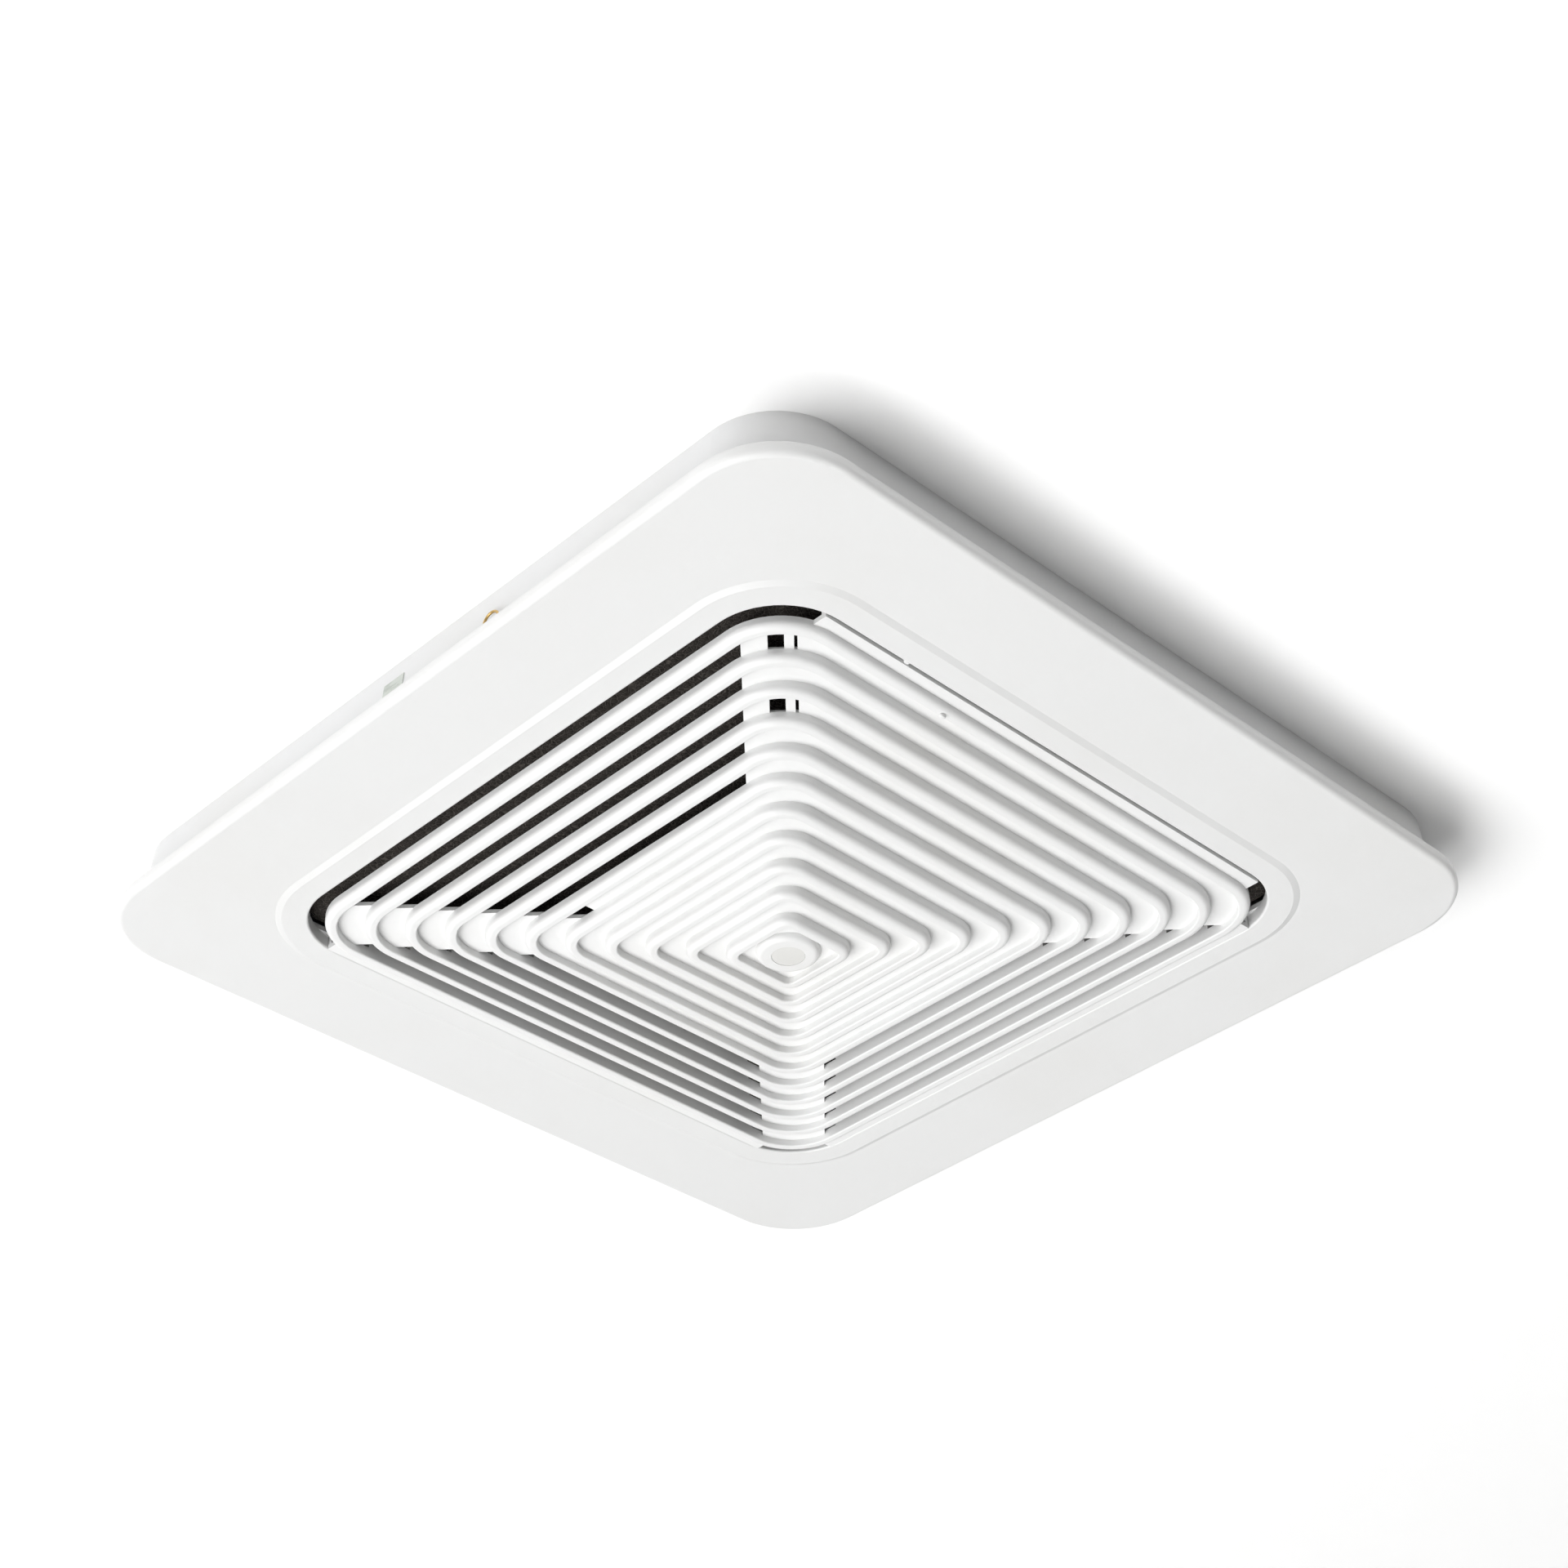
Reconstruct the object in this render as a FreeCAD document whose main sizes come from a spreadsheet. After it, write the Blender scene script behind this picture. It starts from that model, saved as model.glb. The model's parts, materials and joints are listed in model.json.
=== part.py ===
import FreeCAD, Part
import math
import os
import re
import Sketcher
from FreeCAD import Placement, Rotation, Vector

# Ceiling extractor fan. Millimetres, +Z up. The origin is on the ceiling plane, at the centre of
# the four fixing holes: what hangs in the room has z < 0, what hides above the ceiling has z > 0.

doc = FreeCAD.newDocument("ExtractorFan")
sheet = doc.addObject("Spreadsheet::Sheet", "sizes")

dimensions = {
    # panel that hangs in the room
    "faceDrop": 22.5, "panelHalf": 150, "panelCorner": 27, "panelThick": 2.4, "rimDepth": 6,
    "rimFrontRound": 1.8, "rimBackRound": 3.4, "skirtHalf": 144.9, "bandHalf": 117.6,
    "bandCorner": 31, "bandRise": 0.7, "bandBevel": 2.0, "openingHalf": 108, "openingCorner": 22,
    "lipWall": 3, "lipRise": 3.5, "webThick": 1.5,
    # grille: nested rings, stepped down towards the middle
    "ringCount": 11, "ringInner": 100.1, "ringPitch": 8.9, "barWidth": 3.7, "barHeight": 3.6,
    "ringStep": 1.25, "firstCrest": 3.2, "cornerMost": 20, "cornerLeast": 6, "shoulderRound": 2,
    "barEdgeRound": 0.5, "ribHalf": 10.4, "closedHalf": 58, "bayHalf": 112, "reliefEnd": 30,
    "reliefDepth": 8.7, "windowHalf": 2.2, "windowShift": -1, "slotHalf": 0.45, "slotShift": 4.3,
    # grille's edge: a shelf, a riser inside the bezel's lip and a flange over it
    "shelfInner": 101.5, "riserHalf": 107.4, "webHalf": 113, "riserReach": 90, "flangeReach": 104,
    "clipOffset": 50, "saddleGap": 9, "tallRings": 6, "tallRise": 1.9,
    "bossRadius": 9.7, "bossReach": 15.5, "bossRound": 2, "bossWall": 3, "stemRadius": 6,
    "capRadius": 5, "capDepth": 1.6, "capThick": 1.5, "capGap": 0.08, "capPeg": 3.75, "screwSink": 5,
    # filter and what holds it
    "foamHalf": 107, "foamThick": 8, "retainerThick": 2, "retainerRim": 6, "armHalf": 6,
    # wires that the panel drops on
    "hangerOffset": 113, "legHalf": 12, "wireRadius": 0.8, "legTop": 60,
    # frame under the ceiling
    "frameLow": 144.3, "frameHigh": 142.6, "frameDepth": 19.8, "frameCorner": 24, "frameWall": 2.2,
    "flangeThick": 2, "frameMouth": 118, "mountX": 127, "mountY": 90, "mountHole": 2.25,
    "seamOffset": 132, "seamHalf": 0.25, "seamDepth": 0.35,
    # galvanised housing above the ceiling
    "housingHalf": 120, "housingTop": 135, "housingCorner": 3, "steel": 1, "flangeHalf": 134,
    # inlet plate, scroll and impeller
    "plateLow": 18, "plateThick": 2, "bellWide": 66.4, "bellNarrow": 61.4, "bellWall": 1.6,
    "bellRise": 8, "scrollStep": 7, "scrollRadius": 100, "scrollWall": 2, "scrollTop": 84,
    "tongueHeight": 47, "outletLow": 12, "shaftHole": 14, "bossPost": 4.5,
    "wheelRadius": 70, "wheelLow": 27, "wheelHigh": 81, "bladeCount": 32, "bladeMid": 63,
    "bladeCurve": 10, "bladeHalf": 0.6,
    # motor
    "motorRadius": 42, "motorLow": 91.5, "motorHigh": 130, "coreLow": 104, "coreHigh": 118,
    "shellWall": 1.5, "shaftRadius": 4, "bearingRadius": 9, "bearingHeight": 7, "earOffset": 52,
    # duct outlet
    "ductY": 57, "ductZ": 56, "spigotRadius": 49, "spigotWall": 1.8, "ductEnd": 200,
    "collarHalf": 52, "collarFlange": 2,
    "flapX": 165, "flapRise": 8, "flapGap": 0.6, "flapThick": 1.2, "flapPinRadius": 1.5,
    # wiring
    "boxLow": 92, "boxHigh": 130, "boxDepth": 31, "glandX": -72, "glandZ": 111,
}

for row, (name, value) in enumerate(dimensions.items(), start=1):
    sheet.set("A%d" % row, name)
    sheet.set("B%d" % row, str(value))
    sheet.setAlias("B%d" % row, name)
doc.recompute()


def formula(text):
    # writes the sheet's name in front of every alias
    return re.sub(r"[A-Za-z_]\w*",
                  lambda word: "sizes." + word.group() if word.group() in dimensions else word.group(),
                  str(text))


def number(text):
    return float(sheet.evalExpression(formula(text)))


def bind(thing, settings):
    for path, text in settings.items():
        thing.setExpression(path, formula(text))
    return thing


def place(thing, at, rotation=None):
    if rotation is not None:
        thing.Placement = Placement(Vector(0, 0, 0), rotation)
    return bind(thing, {"Placement.Base." + axis: text for axis, text in zip("xyz", at)})


nodes = []


def node(label, thing):
    thing.Label = label
    nodes.append(thing)
    return thing


# ---- Part primitives -------------------------------------------------------------------------

turns = {
    "+Z": Rotation(), "-Z": Rotation(Vector(1, 0, 0), 180),
    "+X": Rotation(Vector(0, 1, 0), 90), "-X": Rotation(Vector(0, 1, 0), -90),
    "+Y": Rotation(Vector(1, 0, 0), -90), "-Y": Rotation(Vector(1, 0, 0), 90),
}


def box(x, y, z):
    piece = doc.addObject("Part::Box", "box")
    for side, (low, high) in zip(("Length", "Width", "Height"), (x, y, z)):
        bind(piece, {side: "(%s) - (%s)" % (high, low)})
    return place(piece, (x[0], y[0], z[0]))


def squareBlock(half, z, middle=("0", "0")):
    sides = [("%s - (%s)" % (centre, half), "%s + (%s)" % (centre, half)) for centre in middle]
    return box(sides[0], sides[1], z)


def cylinder(radius, length, at=(0, 0, 0), axis="+Z"):
    piece = doc.addObject("Part::Cylinder", "cylinder")
    bind(piece, {"Radius": radius, "Height": length})
    return place(piece, at, turns[axis])


def cone(start, end, length, at=(0, 0, 0), axis="+Z"):
    piece = doc.addObject("Part::Cone", "cone")
    bind(piece, {"Radius1": start, "Radius2": end, "Height": length})
    return place(piece, at, turns[axis])


def hexagon(acrossCorners, length, at=(0, 0, 0), axis="+Z"):
    piece = doc.addObject("Part::Prism", "hexagon")
    piece.Polygon = 6
    bind(piece, {"Circumradius": acrossCorners, "Height": length})
    return place(piece, at, turns[axis])


def fuse(*pieces):
    whole = doc.addObject("Part::MultiFuse", "fuse")
    whole.Shapes = list(pieces)
    whole.Refine = True
    return whole


def cut(base, *tools):
    result = doc.addObject("Part::Cut", "cut")
    result.Base = base
    result.Tool = tools[0] if len(tools) == 1 else fuse(*tools)
    return result


def tube(outer, inner, length, at=(0, 0, 0), axis="+Z"):
    return cut(cylinder(outer, length, at, axis), cylinder(inner, length, at, axis))


def group(label, pieces):
    # separate solids in one node
    whole = doc.addObject("Part::Compound", "group")
    whole.Links = list(pieces)
    return node(label, whole)


def screw(at, axis, head, rise, shank, length):
    # cross-recessed pan head with its seat at the given point; the shank runs along the axis
    cap = cone(head, "(%s) * 0.72" % head, rise, axis="-Z")
    stem = cylinder(shank, length)
    slot = "(%s) * 0.16" % head
    reach = "(%s) * 0.62" % head
    depth = ("-(%s)" % rise, "-(%s) * 0.45" % rise)
    cross = fuse(box(("-" + reach, reach), ("-" + slot, slot), depth),
                 box(("-" + slot, slot), ("-" + reach, reach), depth))
    return place(cut(fuse(cap, stem), cross), at, turns[axis])


# ---- PartDesign bodies -----------------------------------------------------------------------

def newBody(label):
    body = doc.addObject("PartDesign::Body", label)
    return node(label, body)


def newSketch(body, height="0", plane="XY_Plane"):
    drawing = body.newObject("Sketcher::SketchObject", "outline")
    base = [item for item in body.Origin.OriginFeatures if item.Role == plane][0]
    drawing.AttachmentSupport = [(base, "")]
    drawing.MapMode = "FlatFace"
    return bind(drawing, {".AttachmentOffset.Base.z": height})


def dimension(drawing, constraint, text):
    index = drawing.addConstraint(constraint)
    drawing.renameConstraint(index, "size%d" % index)
    bind(drawing, {"Constraints.size%d" % index: text})


def locate(drawing, item, point, x, y):
    # a point's distances from the sketch's origin, signed
    for kind, text, axis in (("DistanceX", x, -2), ("DistanceY", y, -1)):
        amount = number(text)
        if abs(amount) < 1e-9:
            drawing.addConstraint(Sketcher.Constraint("PointOnObject", item, point, axis))
        elif amount > 0:
            dimension(drawing, Sketcher.Constraint(kind, -1, 1, item, point, amount), text)
        else:
            dimension(drawing, Sketcher.Constraint(kind, item, point, -1, 1, -amount), "-(%s)" % text)


def drawPolygon(drawing, points):
    corners = [Vector(number(x), number(y), 0) for x, y in points]
    ends = corners[1:] + corners[:1]
    lines = [drawing.addGeometry(Part.LineSegment(start, end)) for start, end in zip(corners, ends)]
    for line, following in zip(lines, lines[1:] + lines[:1]):
        drawing.addConstraint(Sketcher.Constraint("Coincident", line, 2, following, 1))
    for line, (x, y) in zip(lines, points):
        locate(drawing, line, 1, x, y)


def drawCircle(drawing, radius, x="0", y="0"):
    centre = Vector(number(x), number(y), 0)
    ring = drawing.addGeometry(Part.Circle(centre, Vector(0, 0, 1), number(radius)))
    locate(drawing, ring, 3, x, y)
    dimension(drawing, Sketcher.Constraint("Radius", ring, number(radius)), radius)


def drawRounded(drawing, halfX, halfY, corner, x="0", y="0"):
    # a rectangle with round corners, centred at x, y
    wide, tall, round_ = number(halfX), number(halfY), number(corner)
    middle = Vector(number(x), number(y), 0)
    signs = ((1, -1), (1, 1), (-1, 1), (-1, -1))
    arcs, lines = [], []
    for turn, (sx, sy) in enumerate(signs):
        centre = middle + Vector(sx * (wide - round_), sy * (tall - round_), 0)
        start = math.radians(90 * turn - 90)
        circle = Part.Circle(centre, Vector(0, 0, 1), round_)
        arcs.append(drawing.addGeometry(Part.ArcOfCircle(circle, start, start + math.pi / 2)))
    starts = ((-1, -1, 1, 0), (1, -1, 0, 1), (1, 1, -1, 0), (-1, 1, 0, -1))
    for sx, sy, alongX, alongY in starts:
        first = middle + Vector(sx * (wide - abs(alongX) * round_), sy * (tall - abs(alongY) * round_), 0)
        last = first + Vector(alongX * 2 * (wide - round_), alongY * 2 * (tall - round_), 0)
        lines.append(drawing.addGeometry(Part.LineSegment(first, last)))
    for turn in range(4):
        following = lines[(turn + 1) % 4]
        drawing.addConstraint(Sketcher.Constraint("Tangent", lines[turn], 2, arcs[turn], 1))
        drawing.addConstraint(Sketcher.Constraint("Tangent", arcs[turn], 2, following, 1))
        kind = "Horizontal" if turn % 2 == 0 else "Vertical"
        drawing.addConstraint(Sketcher.Constraint(kind, lines[turn]))
    for arc in arcs[1:]:
        drawing.addConstraint(Sketcher.Constraint("Equal", arcs[0], arc))
    dimension(drawing, Sketcher.Constraint("Radius", arcs[0], round_), corner)
    for line, kind, text, sign in ((lines[1], "DistanceX", halfX, 1), (lines[3], "DistanceX", halfX, -1),
                                   (lines[2], "DistanceY", halfY, 1), (lines[0], "DistanceY", halfY, -1)):
        shift = x if kind == "DistanceX" else y
        text = "(%s) + %d * (%s)" % (shift, sign, text)
        amount = number(text)
        if amount > 0:
            dimension(drawing, Sketcher.Constraint(kind, -1, 1, line, 1, amount), text)
        else:
            dimension(drawing, Sketcher.Constraint(kind, line, 1, -1, 1, -amount), "-(%s)" % text)


def drawSquare(drawing, half, corner):
    drawRounded(drawing, half, half, corner)


def finish(body, feature):
    # makes the feature the body's latest, and stops where it hasn't worked
    body.Tip = feature
    doc.recompute()
    if "Invalid" in feature.State or feature.Shape.isNull() or not feature.Shape.isValid():
        raise RuntimeError("%s of %s has failed" % (feature.Name, body.Label))
    return feature


def pad(body, drawing, length, reverse=False, taper=None):
    feature = body.newObject("PartDesign::Pad", "pad")
    feature.Profile = drawing
    feature.Reversed = reverse
    bind(feature, {"Length": length})
    if taper is not None:
        bind(feature, {"TaperAngle": taper})
    return finish(body, feature)


def pocket(body, drawing, depth=None, upward=False, taper=None):
    # downwards from the sketch, or upwards; right through where no depth is given
    before = body.Tip.Shape.Volume
    feature = body.newObject("PartDesign::Pocket", "pocket")
    feature.Profile = drawing
    feature.Reversed = upward
    if depth is None:
        feature.Type = "ThroughAll"
    else:
        bind(feature, {"Length": depth})
    if taper is not None:
        bind(feature, {"TaperAngle": taper})
    finish(body, feature)
    if not feature.Shape.Volume < before:
        raise RuntimeError("a pocket in %s cuts nothing" % body.Label)
    return feature


def plainPad(body, height, length, draw, *details, **options):
    drawing = newSketch(body, height)
    draw(drawing, *details)
    return pad(body, drawing, length, **options)


def loopOffset(edge):
    # how far out a straight side or a corner arc of a centred square loop lies
    if isinstance(edge.Curve, Part.Circle):
        return abs(edge.Curve.Center.x) + edge.Curve.Radius
    middle = edge.CenterOfMass
    return max(abs(middle.x), abs(middle.y))


def loopEdges(shape, height, half):
    names = []
    for index, edge in enumerate(shape.Edges, start=1):
        flat = abs(edge.BoundBox.ZMin - height) < 1e-4 and abs(edge.BoundBox.ZMax - height) < 1e-4
        if flat and abs(loopOffset(edge) - half) < 1e-3:
            names.append("Edge%d" % index)
    if not names:
        raise RuntimeError("no edges at height %.2f, half %.2f" % (height, half))
    return names


def roundEdges(body, names, radius, kind="PartDesign::Fillet"):
    base = body.Tip
    feature = body.newObject(kind, "edges")
    feature.Base = (base, names)
    bind(feature, {"Radius" if kind == "PartDesign::Fillet" else "Size": radius})
    return finish(body, feature)


def roundLoop(body, height, half, radius):
    return roundEdges(body, loopEdges(body.Tip.Shape, number(height), number(half)), radius)


# ---- Panel -----------------------------------------------------------------------------------

faceLevel = "-faceDrop"
backLevel = "-faceDrop + panelThick"
lipLevel = "-faceDrop + lipRise"
webTop = lipLevel + " + webThick"
bossFront = "-faceDrop - bossReach"
clipPlaces = [("-1", "0", "1"), ("-1", "0", "-1"), ("1", "0", "1"), ("1", "0", "-1"),
              ("0", "1", "1"), ("0", "1", "-1")]


def clipPoint(spot, reach):
    # a point at the given reach from the centre, beside one of the grille's fixings
    outX, outY, side = spot
    x = "%s * (%s) + %s * %s * clipOffset" % (outX, reach, outY, side)
    y = "%s * (%s) + abs(%s) * %s * clipOffset" % (outY, reach, outX, side)
    return x, y


def makeBezel():
    body = newBody("bezel")
    plainPad(body, faceLevel, "rimDepth", drawSquare, "panelHalf", "panelCorner")
    roundLoop(body, faceLevel, "panelHalf", "rimFrontRound")
    roundLoop(body, "-faceDrop + rimDepth", "panelHalf", "rimBackRound")
    hollow = newSketch(body, "-faceDrop + rimDepth")
    drawSquare(hollow, "skirtHalf", "panelCorner - panelHalf + skirtHalf")
    pocket(body, hollow, "rimDepth - panelThick")
    plainPad(body, faceLevel, "bandRise", drawSquare, "bandHalf", "bandCorner", reverse=True)
    band = body.Tip
    bevel = body.newObject("PartDesign::Chamfer", "bevel")
    bevel.Base = (band, loopEdges(band.Shape, number("-faceDrop - bandRise"), number("bandHalf")))
    bevel.ChamferType = "Two distances"
    bevel.FlipDirection = True
    bind(bevel, {"Size": "bandBevel", "Size2": "bandRise * 0.98"})
    finish(body, bevel)
    lip = newSketch(body, backLevel)
    drawSquare(lip, "openingHalf + lipWall", "openingCorner + lipWall")
    pad(body, lip, "(%s) - (%s)" % (lipLevel, backLevel))
    mouth = newSketch(body)
    drawSquare(mouth, "openingHalf", "openingCorner")
    pocket(body, mouth)
    roundLoop(body, "-faceDrop - bandRise", "openingHalf", "0.7")
    for spot in clipPlaces:
        post = newSketch(body, backLevel)
        drawCircle(post, "2.6", *clipPoint(spot, "webHalf + 4"))
        pad(body, post, "(%s) - (%s)" % (webTop, backLevel))
        hole = newSketch(body, webTop)
        drawCircle(hole, "1.1", *clipPoint(spot, "webHalf + 4"))
        pocket(body, hole, "2")
    for side in ("-1", "1"):
        saddle = newSketch(body, backLevel)
        drawRounded(saddle, "4", "2.8", "0.8", "0", side + " * hangerOffset")
        pad(body, saddle, "3.8")
    throat = newSketch(body, plane="YZ_Plane", height="5")
    for side in ("-1", "1"):
        drawRounded(throat, "wireRadius + 0.1", "1.3", "0.4", side + " * hangerOffset",
                    backLevel + " + 1.3")
    pocket(body, throat, "10")
    return body


def ringHalf(index, outer=True):
    # index counts from 1 at the outermost ring
    text = "ringInner - ringPitch * %d" % (index - 1)
    return text + " + barWidth" if outer else text


def ringCorner(index, outer=True):
    share = "%d / (ringCount - 1)" % (index - 1)
    text = "cornerMost - (cornerMost - cornerLeast) * " + share
    return text if outer else text + " - barWidth"


def ringCrest(index):
    return "-faceDrop - firstCrest - ringStep * %d" % (index - 1)


def ringDiagonal(index, outer):
    half, corner = ringHalf(index, outer), ringCorner(index, outer)
    return "((%s) - (%s)) * sqrt(2) + (%s)" % (half, corner, corner)


def onDiagonal(along, across):
    # a point given along the corner diagonal towards +X -Y, and across it
    return ("((%s) + (%s)) / sqrt(2)" % (along, across), "((%s) - (%s)) / sqrt(2)" % (across, along))


def makeGrille():
    body = newBody("louvre_grille")
    count = int(number("ringCount"))
    for index in range(1, count + 1):
        web = newSketch(body, ringCrest(index + 1) + " + barHeight")
        drawSquare(web, ringHalf(index), ringCorner(index))
        if index < count:
            drawSquare(web, ringHalf(index + 1, False), ringCorner(index + 1, False))
        pad(body, web, "ringStep")
    rib = "ribHalf * sqrt(2)"
    inner, outer = "closedHalf", "bayHalf"
    reach = "(%s - %s)"
    bay = [("-" + reach % (inner, rib), "-" + inner), ("-" + reach % (outer, rib), "-" + outer),
           (reach % (outer, rib), "-" + outer), (reach % (inner, rib), "-" + inner),
           ("-reliefEnd", "-" + inner), ("-reliefEnd", "-closedHalf + reliefDepth"),
           ("-" + reach % (inner, rib) + " + reliefDepth", "-closedHalf + reliefDepth")]
    near = newSketch(body)
    drawPolygon(near, bay)
    pocket(body, near)
    left = newSketch(body)
    drawPolygon(left, [(y, x) for x, y in bay[:4]])
    pocket(body, left)
    far = newSketch(body)
    drawPolygon(far, [(x, y[1:]) for x, y in bay[:4]])
    pocket(body, far)
    for index in (1, 3):
        along = ["(%s) - 1" % ringDiagonal(index + 1, True), "(%s) - 2" % ringDiagonal(index, False)]
        windows = newSketch(body)
        for shift, half in (("windowShift", "windowHalf"), ("slotShift", "slotHalf")):
            across = [shift + " - " + half, shift + " + " + half]
            corners = (0, 0), (1, 0), (1, 1), (0, 1)
            drawPolygon(windows, [onDiagonal(along[i], across[j]) for i, j in corners])
        pocket(body, windows)
    for index in range(1, count + 1):
        ring = newSketch(body, ringCrest(index))
        drawSquare(ring, ringHalf(index), ringCorner(index))
        drawSquare(ring, ringHalf(index, False), ringCorner(index, False))
        pad(body, ring, "barHeight")
    # the outer bars rise higher on the two sides away from the open one
    for index in range(1, int(number("tallRings")) + 1):
        near, far = ringHalf(index, False), ringHalf(index)
        end = "(%s) - cornerMost" % near
        blades = newSketch(body, ringCrest(index) + " + barHeight - 0.2")
        blade = [("-(%s)" % near, "-(%s)" % end), ("-(%s)" % near, end), ("-(%s)" % far, end),
                 ("-(%s)" % far, "-(%s)" % end)]
        drawPolygon(blades, blade)
        drawPolygon(blades, [(y, x[1:]) for x, y in blade])
        pad(body, blades, "tallRise")
    # hat-shaped edge on three sides: beside ring 1, up inside the bezel's lip, out over the lip
    shelfTop = ringCrest(1) + " + barHeight"
    shelfLow = shelfTop + " - webThick"
    outer, inner = "riserHalf", "riserHalf - webThick"
    for low, high, near, far, end in ((shelfLow, shelfTop, "shelfInner", outer, "riserReach"),
                                      (shelfLow, webTop, inner, outer, "riserReach"),
                                      (lipLevel, webTop, inner, "webHalf", "flangeReach")):
        strips = newSketch(body, low)
        for side in ("1", "-1"):
            ends = ["%s * (%s)" % (side, text) for text in (near, far)]
            drawPolygon(strips, [(ends[0], "-" + end), (ends[1], "-" + end), (ends[1], end), (ends[0], end)])
        drawPolygon(strips, [("-" + end, near), ("-" + end, far), (end, far), (end, near)])
        pad(body, strips, "(%s) - (%s)" % (high, low))
    # room for the bezel's wire saddle
    notch = newSketch(body, webTop)
    drawPolygon(notch, [("-saddleGap", outer), ("saddleGap", outer), ("saddleGap", "webHalf + 1"),
                        ("-saddleGap", "webHalf + 1")])
    pocket(body, notch, "webThick")
    plainPad(body, bossFront, "ringStep + bossWall", drawCircle, "bossRadius")
    plainPad(body, bossFront, "(%s) - (%s)" % (webTop, bossFront), drawCircle, "stemRadius")
    for outward, radius in ((True, "shoulderRound"), (False, "barEdgeRound")):
        names = []
        for index in range(1, count + 1):
            names += loopEdges(body.Tip.Shape, number(ringCrest(index)), number(ringHalf(index, outward)))
        roundEdges(body, names, radius)
    roundLoop(body, bossFront, "bossRadius", "bossRound")
    for radius, depth in (("capRadius + capGap", "capDepth"), ("capPeg + 0.05", "screwSink"), ("1.75", "40")):
        recess = newSketch(body, bossFront)
        drawCircle(recess, radius)
        pocket(body, recess, depth, upward=True)
    return body


def makePanelParts():
    disc = cylinder("capRadius", "capThick", (0, 0, bossFront + " + capDepth - capThick"))
    peg = tube("capPeg", "capPeg - 0.85", "1.2", (0, 0, bossFront + " + capDepth"))
    node("centre_cap", fuse(disc, peg))
    seat = (0, 0, bossFront + " + screwSink")
    node("centre_screw", screw(seat, "+Z", "3.2", "1.9", "1.5", "23.5"))
    foam = cut(squareBlock("foamHalf", (webTop, webTop + " + foamThick")),
               cylinder("stemRadius + 0.4", "foamThick", (0, 0, webTop)))
    node("foam_filter", foam)
    low = webTop + " + foamThick"
    high = low + " + retainerThick"
    rim = cut(squareBlock("foamHalf", (low, high)), squareBlock("foamHalf - retainerRim", (low, high)))
    arms = []
    for angle in (45, -45):
        arm = box(("-foamHalf * 1.34", "foamHalf * 1.34"), ("-armHalf", "armHalf"), (low, high))
        turned = fuse(arm, cylinder("armHalf", "retainerThick", (0, 0, low)))
        turned.Placement = Placement(Vector(0, 0, 0), Rotation(Vector(0, 0, 1), angle))
        arms.append(turned)
    hub = cylinder("stemRadius", "foamThick", (0, 0, webTop))
    pilot = cylinder("1.5", "foamThick + retainerThick", (0, 0, webTop))
    node("filter_retainer", cut(fuse(rim, *arms, hub), pilot))
    clips, screws = [], []
    for spot in clipPlaces:
        x, y = clipPoint(spot, "webHalf + 0.5")
        holeX, holeY = clipPoint(spot, "webHalf + 4")
        plate = ("6.5", "5") if spot[0] != "0" else ("5", "6.5")
        sides = [(text + " - " + half, text + " + " + half) for text, half in zip((x, y), plate)]
        strip = box(sides[0], sides[1], (webTop, webTop + " + 0.8"))
        clips.append(cut(strip, cylinder("1.3", "0.8", (holeX, holeY, webTop))))
        screws.append(screw((holeX, holeY, webTop + " + 0.8"), "-Z", "2.4", "1.5", "1.1", "2.6"))
    group("grille_clips", clips)
    group("clip_screws", screws)


def makeHanger(label, side):
    # U of spring wire: round bottom under the saddle, two legs, ends bent outwards
    y = side + " * hangerOffset"
    bend = "4"
    bottom = backLevel + " + wireRadius + 0.1"
    centre = bottom + " + legHalf"
    arch = doc.addObject("Part::Torus", "arch")
    bind(arch, {"Radius1": "legHalf", "Radius2": "wireRadius", "Angle3": "180"})
    place(arch, ("0", y, centre), Rotation(Vector(1, 0, 0), -90))
    pieces = [arch]
    upright = Rotation(Vector(1, 0, 0), 90)
    for hand, axis, turn in (("-1", "-X", upright), ("1", "+X", Rotation(Vector(0, 0, 1), 180) * upright)):
        pieces.append(cylinder("wireRadius", "legTop - (%s)" % centre, (hand + " * legHalf", y, centre)))
        hook = doc.addObject("Part::Torus", "hook")
        bind(hook, {"Radius1": bend, "Radius2": "wireRadius", "Angle3": "90"})
        x = "%s * (legHalf + %s)" % (hand, bend)
        pieces.append(place(hook, (x, y, "legTop"), turn))
        pieces.append(cylinder("wireRadius", "2", (x, y, "legTop + " + bend), axis))
    node(label, fuse(*pieces))


# ---- Frame and housing -----------------------------------------------------------------------

def mirrored(side, low, high):
    # a span on the positive side, or its mirror image
    return (low, high) if side == "1" else ("-(%s)" % high, "-(%s)" % low)


def fourPlaces(x, y):
    return [("%s * (%s)" % (sx, x), "%s * (%s)" % (sy, y)) for sx in (-1, 1) for sy in (-1, 1)]


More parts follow.
